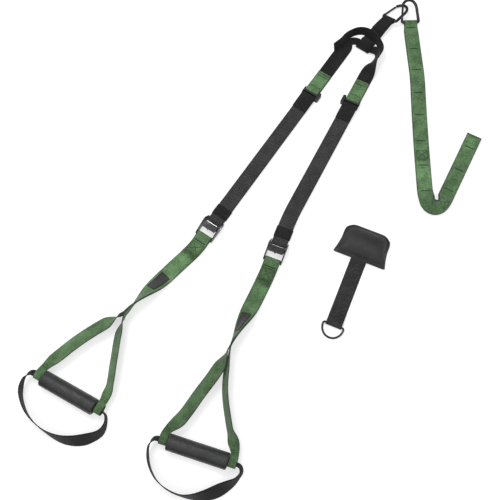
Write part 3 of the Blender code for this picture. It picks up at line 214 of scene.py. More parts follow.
def between(first: Vector, second: Vector) -> float:
    """The distance between two points."""
    return (second - first).length


def reaches(points: Sequence, measure: Callable[..., float] = math.dist) -> list[float]:
    """How far along a line each of its points lies.

    Args:
        points: The line.
        measure: Gives the distance between two points.

    Returns:
        The distances from its start.
    """
    run = [0.0]
    for first, second in zip(points, points[1:]):
        run.append(run[-1] + measure(first, second))
    return run


def placed(across: Vector, along: Vector, up: Vector, origin: Vector) -> Matrix:
    """A placement from the directions of its axes.

    Args:
        across: Where X points.
        along: Where Y points.
        up: Where Z points.
        origin: Where it stands.

    Returns:
        The placement.
    """
    turned = Matrix((across, along, up)).transposed().to_4x4()
    turned.translation = origin
    return turned


class Course:
    """A centre line over the floor, with a height and a roll along it."""

    length: float = 0.0

    def __init__(self, lifts: Table, rolls: Table, half_width: float = 0.0) -> None:
        """Keeps the tables of heights and rolls."""
        self.lifts, self.rolls, self.half_width = lifts, rolls, half_width
        self.shared: dict[float, int] = {}

    def plan(self, at: float) -> Vector:
        """The place over the floor this far along."""
        raise NotImplementedError

    def point(self, at: float) -> Vector:
        """The place this far along, with its height."""
        rise = self.half_width * abs(math.sin(math.radians(keyed(self.rolls, at))))
        return self.plan(at) + UP * (keyed(self.lifts, at) + rise)

    def frame(self, at: float) -> Frame:
        """The strap's own directions.

        Args:
            at: How far along.

        Returns:
            Origin, the directions across and along, and the normal, longer where the strap twists.
        """
        along = (self.point(at + PROBE) - self.point(at - PROBE)).normalized()
        level = along.cross(UP).normalized()
        roll = math.radians(keyed(self.rolls, at))
        across = level * math.cos(roll) - level.cross(along) * math.sin(roll)
        twist = math.radians(keyed(self.rolls, at + PROBE) - keyed(self.rolls, at - PROBE)) / (2 * PROBE)
        return self.point(at), across, along, across.cross(along) * math.hypot(1.0, twist * self.half_width)

    def rows(self, first: float, second: float) -> list[float]:
        """Places for rows between two others, closer where the strap bends or twists.

        Args:
            first: The lower place.
            second: The higher place.

        Returns:
            The places between them.
        """
        places: list[float] = []
        for index in range(math.floor(first / ROW_SPACING), math.ceil(second / ROW_SPACING)):
            start = index * ROW_SPACING
            if start not in self.shared:
                here, there = self.frame(start), self.frame(start + ROW_SPACING)
                bend = math.degrees(max(here[side].angle(there[side]) for side in (1, 2)))
                self.shared[start] = max(1, math.ceil(bend / ROW_TURN))
            count = self.shared[start]
            places += [start + ROW_SPACING * step / count for step in range(count)]
            least = ROW_SPACING / count / 3
            places = [place for place in places if first + least < place < second - least]
        return places

    def matrix(self, at: float, lift: float = 0.0) -> Matrix:
        """A placement: X across, Y along, Z along the normal.

        Args:
            at: How far along.
            lift: The height above the course.

        Returns:
            The placement.
        """
        origin, across, along, normal = self.frame(at)
        normal.normalize()
        return placed(across, along, normal, origin + normal * lift)


class ArcCourse(Course):
    """Arcs joined end to end."""

    def __init__(self, start: Vector, heading: float, arcs: Table, lifts: Table,
                 rolls: Table = ((0.0, 0.0),)) -> None:
        """Sets out the arcs.

        Args:
            start: Where the first arc begins.
            heading: The direction in which it begins.
            arcs: Each arc's length and turn.
            lifts: Heights at places along the course.
            rolls: Turns about the course at places along it.
        """
        super().__init__(lifts, rolls, WEB_WIDTH / 2)
        self.start, self.heading, self.arcs = flat(start), heading, arcs
        self.length = sum(length for length, _ in arcs)

    def plan(self, at: float) -> Vector:
        """The place over the floor.

        Args:
            at: How far along the arcs. Past either end the course runs straight.

        Returns:
            The place.
        """
        place, heading, left = self.start.copy(), self.heading, at
        if left <= 0.0:
            return place + heading_vector(heading) * left
        for length, turn in self.arcs:
            run = min(left, length)
            part = turn * run / length
            if abs(part) < PROBE:
                place += heading_vector(heading) * run
            else:
                chord = 2.0 * math.sin(math.radians(part) / 2.0) * run / math.radians(part)
                place += heading_vector(heading + part / 2.0) * chord
            heading += part
            left -= run
            if left <= 0.0:
                return place
        return place + heading_vector(heading) * left


class LineCourse(Course):
    """A smooth line through points."""

    def __init__(self, points: Sequence[Vector], lifts: Table, rolls: Table) -> None:
        """Draws the line over the floor.

        Args:
            points: What the line passes through.
            lifts: Heights at shares of its length.
            rolls: Turns about the line at shares of its length.
        """
        points = [flat(point) for point in points]
        doubled = [2 * points[0] - points[1]] + points + [2 * points[-1] - points[-2]]
        self.run: list[Vector] = []
        for a, b, c, d in zip(doubled, doubled[1:], doubled[2:], doubled[3:]):
            before, here, after = between(a, b), between(b, c), between(c, d)
            leaving = ((b - a) * (here / before) + (c - b) * (before / here)) * (here / (before + here))
            coming = ((c - b) * (after / here) + (d - c) * (here / after)) * (here / (here + after))
            for step in range(LINE_STEPS):
                t = step / LINE_STEPS
                self.run.append(b * (1 + 2 * t) * (1 - t) ** 2 + leaving * t * (1 - t) ** 2
                                + c * t * t * (3 - 2 * t) - coming * t * t * (1 - t))
        self.run.append(points[-1])
        self.reach = reaches(self.run, between)
        self.length = self.reach[-1]
        tables = ([(share * self.length, value) for share, value in table] for table in (lifts, rolls))
        super().__init__(*tables)

    def plan(self, at: float) -> Vector:
        """The place over the floor.

        Args:
            at: How far along the line. Past either end it runs straight.

        Returns:
            The place.
        """
        if at <= 0.0:
            return self.run[0] + (self.run[1] - self.run[0]).normalized() * at
        for index in range(1, len(self.run)):
            if at <= self.reach[index]:
                low, high = self.reach[index - 1], self.reach[index]
                return self.run[index - 1].lerp(self.run[index], (at - low) / (high - low))
        return self.run[-1] + (self.run[-1] - self.run[-2]).normalized() * (at - self.length)


class ChainCourse(Course):
    """A trunk and the arm that leaves its end, read as one course."""

    def __init__(self, trunk: Course, arm: Course) -> None:
        """Joins an arm to its trunk."""
        super().__init__((), ())
        self.trunk, self.arm = trunk, arm

    def frame(self, at: float) -> Frame:
        """The frame of the trunk, or of the arm past the trunk's end."""
        past = at - self.trunk.length
        return self.arm.frame(past) if past > 0.0 else self.trunk.frame(at)


def wrap(at: float, height: float, radius: float, start: float, sweep: float) -> Profile:
    """Points of a strap bent round a bar.

    Args:
        at: The bar's place.
        height: The bar's height.
        radius: The radius of the strap's middle.
        start: Where the bend starts, from the strap's forward direction.
        sweep: How far it goes round, upward positive.

    Returns:
        The points.
    """
    count = max(2, round(abs(sweep) / WRAP_TURN) * 2)
    turned = [math.radians(start + sweep * step / count) for step in range(count + 1)]
    return [(at + radius * math.cos(a), height + radius * math.sin(a)) for a in turned]


def ramp(first: Spot, second: Spot, steps: int = 8) -> Profile:
    """Points of a strap that eases from one layer height to another.

    Args:
        first: The place and height that it leaves.
        second: The place and height that it reaches.
        steps: The number of steps between them.

    Returns:
        The points.
    """
    shares = [step / steps for step in range(steps + 1)]
    return [(first[0] + (second[0] - first[0]) * share, first[1] + (second[1] - first[1]) * smooth(share))
            for share in shares]


def filled(course: Course, profile: Profile) -> Profile:
    """Adds the course's own rows to a profile.

    Args:
        course: The course that the strap follows.
        profile: Points of (place, height).

    Returns:
        The fuller profile.
    """
    rows = [profile[0]]
    for here in profile[1:]:
        last = rows[-1]
        if math.dist(last, here) < PROBE / 5:
            continue
        marks = course.rows(*sorted((last[0], here[0])))
        for mark in marks if here[0] > last[0] else marks[::-1]:
            share = (mark - last[0]) / (here[0] - last[0])
            rows.append((mark, last[1] + (here[1] - last[1]) * share))
        rows.append(here)
    return rows


class Nodes:
    """Short ways to add nodes to a tree."""

    def __init__(self, tree: Tree) -> None:
        """Works on one tree."""
        self.tree = tree

    def feed(self, socket: Socket, value: Feed) -> None:
        """Links an output to a socket, or sets the socket's own value.

        Args:
            socket: The socket.
            value: What feeds it.
        """
        if isinstance(value, Socket):
            self.tree.links.new(value, socket)
        else:
            socket.default_value = value

    def add(self, kind: str, settings: Optional[dict] = None, **inputs: Feed) -> Node:
        """Adds a node.

        Args:
            kind: The node's type, without its common prefix.
            settings: Properties of the node.
            inputs: What feeds its sockets, by name with underscores or by number after an i.

        Returns:
            The node.
        """
        made = self.tree.nodes.new("ShaderNode" + kind)
        for key, value in (settings or {}).items():
            setattr(made, key, value)
        for key, value in inputs.items():
            numbered = key[0] == "i" and key[1:].isdigit()
            self.feed(made.inputs[int(key[1:]) if numbered else key.replace("_", " ")], value)
        return made

    def calc(self, operation: str, *values: Feed) -> Socket:
        """The output of a Math node."""
        inputs = {f"i{index}": value for index, value in enumerate(values)}
        return self.add("Math", {"operation": operation}, **inputs).outputs[0]

    def times(self, first: Feed, second: Feed) -> Socket:
        """The product of two values."""
        return self.calc("MULTIPLY", first, second)

    def scaled(self, value: Feed, factor: Feed, offset: Feed) -> Socket:
        """A value times a factor, with an offset added."""
        return self.calc("MULTIPLY_ADD", value, factor, offset)

    def span(self, value: Feed, low: float, high: float) -> Socket:
        """A smooth rise from 0 at one value to 1 at another."""
        return self.add("MapRange", {"interpolation_type": "SMOOTHSTEP"}, Value=value, From_Min=low,
                        From_Max=high).outputs[0]

    def mix(self, share: Feed, first: Feed, second: Feed) -> Socket:
        """Two colours mixed by a share."""
        colours = [value if isinstance(value, Socket) else (*value, 1.0) for value in (first, second)]
        return self.add("Mix", {"data_type": "RGBA"}, i0=share, i6=colours[0], i7=colours[1]).outputs[2]

    def toned(self, colour: Socket, shade: Socket) -> Socket:
        """A colour made lighter or darker."""
        return self.add("HueSaturation", Value=shade, Color=colour).outputs[0]

    def noise(self, **inputs: Feed) -> Socket:
        """The value of a noise."""
        return self.add("TexNoise", **inputs).outputs[0]

    def attribute(self, name: str) -> Socket:
        """A value that the mesh carries."""
        return self.add("Attribute", {"attribute_name": name}).outputs["Fac"]

    def uv(self) -> Socket:
        """The UV map of the piece."""
        return self.add("UVMap", {"uv_map": "UVMap"}).outputs[0]

    def space(self) -> Socket:
        """The piece's own space."""
        return self.add("TexCoord").outputs["Object"]

    def place(self, effect: "Effect", **inputs: Feed) -> Outputs:
        """Places an effect with its own values, and gives its outputs by name."""
        made = self.add("Group", {"node_tree": effect.group()}, **inputs)
        return {socket.name: socket for socket in made.outputs}


@dataclass(frozen=True)
class Effect:
    """A shader node group that is made once and placed in any material."""

    build: Callable[[Nodes, Outputs], Sequence[Socket]]
    vector: str
    values: Sequence[tuple[str, float]]
    outputs: Sequence[str]

    def group(self) -> Tree:
        """The node group, made when it is first used."""
        name = self.build.__name__
        if name in bpy.data.node_groups:
            return bpy.data.node_groups[name]
        tree = bpy.data.node_groups.new(name, "ShaderNodeTree")
        add = tree.interface.new_socket
        add(self.vector, in_out="INPUT", socket_type="NodeSocketVector")
        for title, value in self.values:
            add(title, in_out="INPUT", socket_type="NodeSocketFloat").default_value = value
        for title in self.outputs:
            add(title, in_out="OUTPUT", socket_type="NodeSocketFloat")
        given = tree.nodes.new("NodeGroupInput").outputs
        made = self.build(Nodes(tree), {socket.name: socket for socket in given})
        result = tree.nodes.new("NodeGroupOutput")
        for title, socket in zip(self.outputs, made):
            tree.links.new(socket, result.inputs[title])
        return tree


def weave(nodes: Nodes, given: Outputs) -> Sequence[Socket]:
    """Warp threads that pass over and under the weft, from UVs in metres.

    Args:
        nodes: The group's nodes.
        given: The group's inputs.

    Returns:
        The height.
    """
    parts = nodes.add("SeparateXYZ", Vector=given["UV"]).outputs
    warp = nodes.calc("DIVIDE", parts["X"], given["Warp"])
    weft = nodes.calc("DIVIDE", parts["Y"], given["Weft"])
    stepped = nodes.times(nodes.calc("FLOOR", warp), given["Step"])
    wave = nodes.calc("SINE", nodes.times(nodes.calc("ADD", weft, stepped), math.tau))
    arch = nodes.calc("SINE", nodes.times(nodes.calc("FRACT", warp), math.pi))
    thread = nodes.calc("POWER", nodes.calc("MAXIMUM", arch, 0.0), 0.5)
    return (nodes.times(thread, nodes.scaled(nodes.scaled(wave, 0.5, 0.5), 0.65, 0.35)),)


def drift(nodes: Nodes, given: Outputs) -> Sequence[Socket]:
    """Slow changes of tone over a surface, with fine fuzz on top.

    Args:
        nodes: The group's nodes.
        given: The group's inputs.

    Returns:
        The tone and the fuzz.
    """
    slow = nodes.noise(Vector=given["Vector"], Scale=given["Scale"], Detail=4.0, Roughness=0.55)
    fine = nodes.noise(Vector=given["Vector"], Scale=given["Fuzz"], Detail=2.0)
    return nodes.span(slow, 0.3, 0.7), fine


def pebble(nodes: Nodes, given: Outputs) -> Sequence[Socket]:
    """Soft pebbles with fine pores, as on moulded foam.

    Args:
        nodes: The group's nodes.
        given: The group's inputs.

    Returns:
        The height and the pores.
    """
    cells = nodes.add("TexVoronoi", {"feature": "SMOOTH_F1"}, Vector=given["Vector"], Scale=given["Scale"],
                      Smoothness=0.6).outputs["Distance"]
    fine = nodes.noise(Vector=given["Vector"], Detail=3.0, Scale=nodes.times(given["Scale"], 2.7))
    bumps = nodes.times(nodes.calc("SUBTRACT", 1.0, cells), 0.65)
    return nodes.scaled(fine, 0.35, bumps), nodes.span(cells, 0.55, 0.9)


def crossed(nodes: Nodes, given: Outputs) -> Sequence[Socket]:
    """Ridges that cross each other at a slant, from UVs in metres.

    Args:
        nodes: The group's nodes.
        given: The group's inputs.

    Returns:
        The height.
    """
    parts = nodes.add("SeparateXYZ", Vector=given["UV"]).outputs
    across, along = (nodes.calc("DIVIDE", parts[axis], given["Pitch"]) for axis in ("X", "Y"))
    waves = []
    for operation in ("ADD", "SUBTRACT"):
        slant = nodes.times(nodes.calc(operation, along, across), math.pi)
        waves.append(nodes.calc("ABSOLUTE", nodes.calc("SINE", slant)))
    return (nodes.calc("POWER", nodes.times(*waves), 0.35),)


def scuffs(nodes: Nodes, given: Outputs) -> Sequence[Socket]:
    """Fine rubbed marks and scratches, strongest on edges.

    Args:
        nodes: The group's nodes.
        given: The group's inputs.

    Returns:
        The mask of the marks, and the grain.
    """
    stretched = nodes.add("Mapping", Vector=given["Vector"], Scale=(1.0, 6.0, 1.0),
                          Rotation=(0.0, 0.0, 0.7))
    lines = nodes.noise(Vector=stretched.outputs[0], Scale=given["Scale"], Detail=5.0, Roughness=0.65)
    grain = nodes.noise(Vector=given["Vector"], Detail=2.0, Scale=nodes.times(given["Scale"], 12.0))
    raised = nodes.span(nodes.add("NewGeometry").outputs["Pointiness"], 0.52, 0.62)
    marks = nodes.calc("MAXIMUM", nodes.span(lines, 0.62, 0.74), nodes.times(raised, lines))
    return nodes.times(marks, given["Amount"]), grain


WEAVE = Effect(weave, "UV", (("Warp", 0.0012), ("Weft", 0.0016), ("Step", 0.5)), ("Height",))
DRIFT = Effect(drift, "Vector", (("Scale", 30.0), ("Fuzz", 900.0)), ("Tone", "Fuzz"))
PEBBLE = Effect(pebble, "Vector", (("Scale", 600.0),), ("Height", "Pores"))
CROSSED = Effect(crossed, "UV", (("Pitch", 0.004),), ("Height",))
SCUFFS = Effect(scuffs, "Vector", (("Scale", 120.0), ("Amount", 0.3)), ("Mask", "Grain"))


@dataclass(frozen=True)
class Surface:
    """What a finish feeds to its shader, and the shader's plain values."""

    colour: Socket
    rough: Socket
    relief: Socket
    strength: float
    depth: float
    plain: dict[str, float] = field(default_factory=dict)


class Finish:
    """A material that is made once, when first used."""

    name: str

    def surface(self, nodes: Nodes) -> Surface:
        """Builds the nodes in front of the shader."""
        raise NotImplementedError

    def material(self) -> bpy.types.Material:
        """The finish as a material."""
        if self.name in bpy.data.materials:
            return bpy.data.materials[self.name]
        made = bpy.data.materials.new(self.name)
        made.use_nodes = True
        nodes = Nodes(made.node_tree)
        given = self.surface(nodes)
        bump = nodes.add("Bump", Strength=given.strength, Distance=given.depth, Height=given.relief)
        sockets = {"Base Color": given.colour, "Roughness": given.rough, "Normal": bump.outputs[0]}
        for title, value in {**sockets, **given.plain}.items():
            nodes.feed(made.node_tree.nodes["Principled BSDF"].inputs[title], value)
        return made


@dataclass(frozen=True)
class Webbing(Finish):
    """Woven strap: thread and gap colours, darker selvedges, and the slant of its weave."""

    name: str
    thread: Triple
    gap: Triple
    edge: Triple
    step: float = 0.5
    warp: float = 0.0012
    weft: float = 0.0017
    contrast: float = 0.25
    sheen: float = 0.20
    shine: float = 0.25
    fuzz: float = 1.6
    edge_from: float = 0.84

    def surface(self, nodes: Nodes) -> Surface:
        """Weave from the UVs, tone from the piece's own space, edges and a tone with painted shading from
        attributes.

        Args:
            nodes: The material's nodes.

        Returns:
            What feeds the shader.
        """
        height = nodes.place(WEAVE, UV=nodes.uv(), Warp=self.warp, Weft=self.weft, Step=self.step)["Height"]
        tone = nodes.place(DRIFT, Vector=nodes.space(), Scale=38.0, Fuzz=340.0)
        colour = nodes.mix(height, self.gap, self.thread)
        selvedge = nodes.span(nodes.attribute("edge_share"), self.edge_from, 1.0)
        shade = nodes.times(nodes.scaled(tone["Tone"], 2.0 * self.contrast, 1.0 - self.contrast),
                            nodes.scaled(tone["Fuzz"], self.fuzz, 1.0 - self.fuzz / 2))
        # The shade attribute is the strap's tone, mostly painted shade and light at folds, creases, steps
        # and junctions.
        shade = nodes.times(shade, nodes.attribute("shade"))
        plain = {"Specular IOR Level": self.shine, "Sheen Weight": self.sheen, "Sheen Roughness": 0.45}
        return Surface(nodes.toned(nodes.mix(selvedge, colour, self.edge), shade),
                       nodes.scaled(height, -0.18, 0.88), nodes.scaled(tone["Fuzz"], 0.2, height),
                       0.55, 0.0004, plain)


@dataclass(frozen=True)
class Thread(Finish):
    """Sewing thread with a slightly paler tone where it fuzzes."""

    name: str
    colour: Triple

    def surface(self, nodes: Nodes) -> Surface:
        """Fuzz and tone in the piece's own space.

        Args:
            nodes: The material's nodes.

        Returns:
            What feeds the shader.
        """
        tone = nodes.place(DRIFT, Vector=nodes.space(), Scale=260.0, Fuzz=3200.0)
        pale = tuple(min(1.0, part * 1.7 + 0.003) for part in self.colour)
        colour = nodes.mix(tone["Tone"], self.colour, pale)
        return Surface(colour, nodes.scaled(tone["Fuzz"], 0.3, 0.5), tone["Fuzz"], 0.5, 0.0002)


@dataclass(frozen=True)
class Hardware(Finish):
    """Coated or bare metal, or moulded plastic, with rubbed marks."""

    name: str
    colour: Triple
    rubbed: Triple
    metallic: float
    rough: float
    amount: float = 0.35
    coat: float = 0.0

    def surface(self, nodes: Nodes) -> Surface:
        """Scuffs show the rubbed colour and turn the surface rougher.

        Args:
            nodes: The material's nodes.

        Returns:
            What feeds the shader.
        """
        place = nodes.space()
        worn = nodes.place(SCUFFS, Vector=place, Scale=150.0, Amount=self.amount)
        tone = nodes.place(DRIFT, Vector=place, Scale=60.0, Fuzz=2200.0)["Tone"]
        colour = nodes.mix(worn["Mask"], self.colour, self.rubbed)
        colour = nodes.toned(colour, nodes.scaled(tone, 0.3, 0.85))
        rough = nodes.scaled(worn["Mask"], 0.2, nodes.scaled(worn["Grain"], 0.16, self.rough - 0.08))
        plain = {"Metallic": self.metallic, "Coat Weight": self.coat}
        return Surface(colour, rough, worn["Grain"], 0.25, 0.0002, plain)


@dataclass(frozen=True)
class Foam(Finish):
    """Dense moulded foam with a pebbled skin and a fine crossed pattern."""

    name: str
    colour: Triple
    pores: Triple
    scale: float = 620.0
    rough: float = 0.36
    pattern: float = 0.0042
    speckle: float = 380.0
    fuzz: float = 2.4

    def surface(self, nodes: Nodes) -> Surface:
        """Pebbles and crossed ridges in the bump, pores and hand wear in the colour.

        Args:
            nodes: The material's nodes.

        Returns:
            What feeds the shader.
        """
        place = nodes.space()
        skin = nodes.place(PEBBLE, Vector=place, Scale=self.scale)
        tone = nodes.place(DRIFT, Vector=place, Scale=45.0, Fuzz=self.speckle)
        ridge = nodes.place(CROSSED, UV=nodes.uv(), Pitch=self.pattern)["Height"]
        low = nodes.calc("MAXIMUM", skin["Pores"], nodes.calc("SUBTRACT", 1.0, ridge))
        shade = nodes.times(nodes.scaled(tone["Tone"], 0.45, 0.78),
                            nodes.scaled(tone["Fuzz"], self.fuzz, 1.0 - self.fuzz / 2))
        return Surface(nodes.toned(nodes.mix(low, self.colour, self.pores), shade),
                       nodes.scaled(tone["Tone"], -0.14, self.rough + 0.07),
                       nodes.scaled(ridge, 0.8, skin["Height"]), 0.7, 0.0005)


@dataclass(frozen=True)
class PadCloth(Finish):
    """Coated cloth over the door block: a fine plain weave in the piece's own space."""

    name: str
    colour: Triple
    pale: Triple
    pitch: float = 0.0009
    turn: float = 22.6

    def surface(self, nodes: Nodes) -> Surface:
        """The weave from object coordinates, turned with the block.

        Args:
            nodes: The material's nodes.

        Returns:
            What feeds the shader.
        """
        place = nodes.space()
        turned = nodes.add("Mapping", Vector=place, Rotation=(0.0, 0.0, math.radians(self.turn))).outputs[0]
        height = nodes.place(WEAVE, UV=turned, Warp=self.pitch, Weft=self.pitch * 1.2, Step=0.5)["Height"]
        tone = nodes.place(DRIFT, Vector=place, Scale=42.0, Fuzz=1500.0)["Tone"]
        colour = nodes.toned(nodes.mix(height, self.colour, self.pale), nodes.scaled(tone, 0.5, 0.75))
        plain = {"Specular IOR Level": 0.50, "Sheen Weight": 0.05}
        return Surface(colour, nodes.scaled(tone, -0.10, 0.50), height, 0.5, 0.0003, plain)


GREEN = Webbing("green_strap", (0.155, 0.285, 0.128), (0.048, 0.100, 0.040), (0.050, 0.080, 0.052))
BLACK = Webbing("black_strap", (0.019, 0.019, 0.020), (0.005, 0.005, 0.006), (0.008, 0.008, 0.009),
                sheen=0.12, fuzz=2.8)
GREY = Webbing("grey_strap", (0.062, 0.062, 0.064), (0.013, 0.013, 0.014), (0.021, 0.021, 0.022),
               step=0.25, warp=0.0014, weft=0.0054, contrast=0.2, fuzz=2.4)
PATCH = Webbing("patch_tape", (0.075, 0.070, 0.072), (0.040, 0.037, 0.039), (0.035, 0.033, 0.034),
                warp=0.0007, weft=0.0007)
GREEN_THREAD = Thread("green_thread", (0.004, 0.012, 0.004))
BLACK_THREAD = Thread("black_thread", (0.006, 0.006, 0.007))
GREY_THREAD = Thread("grey_thread", (0.010, 0.010, 0.011))
COATED = Hardware("coated_steel", (0.022, 0.022, 0.024), (0.12, 0.12, 0.13), 0.55, 0.38, coat=0.15)
BARE = Hardware("bare_steel", (0.62, 0.62, 0.62), (0.80, 0.80, 0.80), 1.0, 0.28, 0.5)
LEVER = Hardware("lever_steel", (0.050, 0.050, 0.053), (0.20, 0.20, 0.21), 0.8, 0.30, 0.5, 0.1)
MOULDED = Hardware("moulded_plastic", (0.014, 0.014, 0.015), (0.045, 0.045, 0.047), 0.0, 0.48, 0.3)
GRIP_FOAM = Foam("foam_skin", (0.031, 0.031, 0.032), (0.007, 0.007, 0.008))
BLOCK = PadCloth("pad_cover", (0.008, 0.008, 0.009), (0.018, 0.018, 0.020))


class Held(Enum):
    LAID = "laid"
    FOLDED = "folded"
    STRETCHED = "stretched"


@dataclass(frozen=True)
class Rides:
    """The body that carries a piece, or the two bodies that a strap crosses between."""

    body: str
    second: str = ""
    start: Triple = (0.0, 0.0, 0.0)
    end: Triple = (0.0, 0.0, 0.0)

    def carry(self, piece: Piece) -> None:
        """Makes the piece move as its body does, as the body's child; a piece between two bodies only has
        its placement baked into its mesh.

        Args:
            piece: The piece.
        """
        if self.second:
            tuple(self.start)
            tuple(self.end)
            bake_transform(piece)
        else:
            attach(piece, self.body)


def lone(piece: Piece) -> None:
    """Selects one piece only and makes it the active one.

    Args:
        piece: The piece.
    """
    bpy.ops.object.select_all(action="DESELECT")
    piece.select_set(True)
    bpy.context.view_layer.objects.active = piece


def primitive(add: Callable[..., set], **sizes: object) -> Piece:
    """Adds a primitive as the only selected piece.

    Args:
        add: The operator that adds it.
        sizes: The operator's settings.

    Returns:
        The new piece.
    """
    bpy.ops.object.select_all(action="DESELECT")
    add(**sizes)
    return bpy.context.object


@contextmanager
def editing(piece: Piece) -> Iterator[None]:
    """Edit mode on one piece, with all of it selected.

    Args:
        piece: The piece.

    Yields:
        Nothing, while the piece is in edit mode.
    """
    lone(piece)
    bpy.ops.object.mode_set(mode="EDIT")
    bpy.ops.mesh.select_all(action="SELECT")
    yield
    bpy.ops.object.mode_set(mode="OBJECT")


def modifier(piece: Piece, name: str, kind: str, **settings: object) -> bpy.types.Modifier:
    """Adds a modifier.

    Args:
        piece: The piece that gets it.
        name: Its name.
        kind: Its type.
        settings: Its properties.

    Returns:
        The modifier.
    """
    made = piece.modifiers.new(name, kind)
    for key, value in settings.items():
        setattr(made, key, value)
    return made


def soft_edges(piece: Piece, width: float, angle: float) -> None:
    """Adds a modifier that rounds the edges sharper than an angle."""
    modifier(piece, "rounded edges", "BEVEL", width=width, segments=2, limit_method="ANGLE",
             angle_limit=math.radians(angle))


def apply_modifiers(piece: Piece) -> None:
    """Applies every modifier of a piece in order.

    Args:
        piece: The piece.
    """
    lone(piece)
    for made in list(piece.modifiers):
        bpy.ops.object.modifier_apply(modifier=made.name)


def thicken(piece: Piece, thick: float, round_share: float) -> None:
    """Gives a sheet of webbing its thickness and soft edges.

    Args:
        piece: The sheet.
        thick: Its thickness.
        round_share: The rounding of its edges as a share of the thickness.
    """
    modifier(piece, "webbing thickness", "SOLIDIFY", thickness=thick, offset=0.0)
    soft_edges(piece, thick * round_share, 60.0)
    apply_modifiers(piece)
    bpy.ops.object.shade_smooth_by_angle(angle=math.radians(50.0))


def put(piece: Piece, name: str, place: Matrix, finish: Finish) -> Piece:
    """Names a piece, moves its mesh to its place and gives it its finish.

    Args:
        piece: The piece.
        name: Its name.
        place: Where its mesh goes.
        finish: Its finish.

    Returns:
        The piece.
    """
    piece.name = piece.data.name = name
    piece.data.transform(place)
    piece.data.materials.clear()
    piece.data.materials.append(finish.material())
    return piece


def ride_for(piece: Piece, body: str, solid: str = "") -> None:
    """Makes a hard piece ride on a body and, if a solid is named, stand for it.

    Args:
        piece: The piece.
        body: The body.
        solid: The solid, or nothing.
    """
    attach(piece, body)
    if solid:
        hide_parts(solid)


def tidy_mesh(piece: Piece, reach: float = 0.00001) -> None:
    """Merges doubles and turns the faces outward.

    Args:
        piece: The piece.
        reach: How close two points are when they are merged.
    """
    with editing(piece):
        bpy.ops.mesh.remove_doubles(threshold=reach)
        bpy.ops.mesh.normals_make_consistent(inside=False)


def roll_uvs(mesh: bpy.types.Mesh) -> None:
    """Gives a turned mesh UVs in metres: the way round it, and the height.

    Args:
        mesh: The mesh, turned about Z.
    """
    layer = (mesh.uv_layers.active or mesh.uv_layers.new(name="UVMap")).data
    size = max(math.hypot(vert.co.x, vert.co.y) for vert in mesh.vertices)
    for face in mesh.polygons:
        middle = math.atan2(face.center.y, face.center.x)
        for corner in face.loop_indices:
            spot = mesh.vertices[mesh.loops[corner].vertex_index].co
            aside = math.remainder(math.atan2(spot.y, spot.x) - middle, math.tau)
            layer[corner].uv = ((middle + aside) * size, spot.z)


def lathe(name: str, section: Sequence[Spot], place: Matrix, finish: Finish, steps: int) -> Piece:
    """Turns a closed section about Z.

    Args:
        name: The piece's name.
        section: The outline of half the piece, in points of (radius, height).
        place: Where the turned piece goes.
        finish: Its finish.
        steps: How many faces go round it.

    Returns:
        The piece.
    """
    made = primitive(bpy.ops.mesh.primitive_circle_add, vertices=len(section), radius=1.0)
    for vert, (radius, height) in zip(made.data.vertices, section):
        vert.co = (radius, 0.0, height)
    with editing(made):
        bpy.ops.mesh.spin(steps=steps, angle=math.tau, center=(0.0, 0.0, 0.0), axis=(0.0, 0.0, 1.0))
    tidy_mesh(made)
    bpy.ops.object.shade_smooth_by_angle(angle=math.radians(40.0))
    roll_uvs(made.data)
    return put(made, name, place, finish)


def wire(name: str, points: Sequence[Vector], radius: float, place: Matrix, finish: Finish,
         closed: bool = False, shares: Optional[Sequence[float]] = None) -> Piece:
    """A round wire bent through points, as a mesh.

    Args:
        name: The piece's name.
        points: The wire's centre line.
        radius: The wire's radius.
        place: Where the wire goes.
        finish: Its finish.
        closed: Whether its end joins its start.
        shares: The radius at each point as a share of the whole.

    Returns:
        The piece.
    """
    curve = primitive(bpy.ops.curve.primitive_bezier_curve_add).data
    curve.splines.clear()
    curve.dimensions = "3D"
    curve.bevel_depth = radius
    curve.bevel_resolution = 6
    curve.use_fill_caps = not closed
    spline = curve.splines.new("POLY")
    spline.points.add(len(points) - 1)
    for point, here, share in zip(spline.points, points, shares or [1.0] * len(points)):
        point.co = (*here, 1.0)
        point.radius = share
    spline.use_cyclic_u = closed
    bpy.ops.object.convert(target="MESH")
    made = bpy.context.object
    tidy_mesh(made)
    bpy.ops.object.shade_smooth_by_angle(angle=math.radians(45.0))
    return put(made, name, place, finish)


def arc_points(centre: Spot, radii: Spot, start: float, end: float, count: int) -> list[Vector]:
    """Points along part of an ellipse in the plane of a wire, from one angle to another."""
    turned = [math.radians(start + (end - start) * step / count) for step in range(count + 1)]
    return [Vector((centre[0] + radii[0] * math.cos(a), centre[1] + radii[1] * math.sin(a), 0.0))
            for a in turned]


def grid(lanes: int, rows: int, where: Callable[[int, int], Knot]) -> Piece:
    """A sheet of faces whose points, UVs in metres, edge shares and tones with painted shading come from a
    function.

    Args:
        lanes: Faces across.
        rows: Points along.
        where: Gives the place, U, V, edge share and shade of a lane and a row.

    Returns:
        The sheet.
    """
    made = primitive(bpy.ops.mesh.primitive_grid_add, x_subdivisions=lanes, y_subdivisions=rows - 1,
                     size=1.0)
    mesh = made.data
    knots = []
    for vert in mesh.vertices:
        knots.append(where(round((vert.co.x + 0.5) * lanes), round((vert.co.y + 0.5) * (rows - 1))))
        vert.co = knots[-1][0]
    layer = mesh.uv_layers.active.data
    for loop in mesh.loops:
        layer[loop.index].uv = knots[loop.vertex_index][1:3]
    # The shade attribute carries painted shade and light along each strap.
    for name, column in (("edge_share", 3), ("shade", 4)):
        values = [knot[column] for knot in knots]
        mesh.attributes.new(name, "FLOAT", "POINT").data.foreach_set("value", values)
    return made


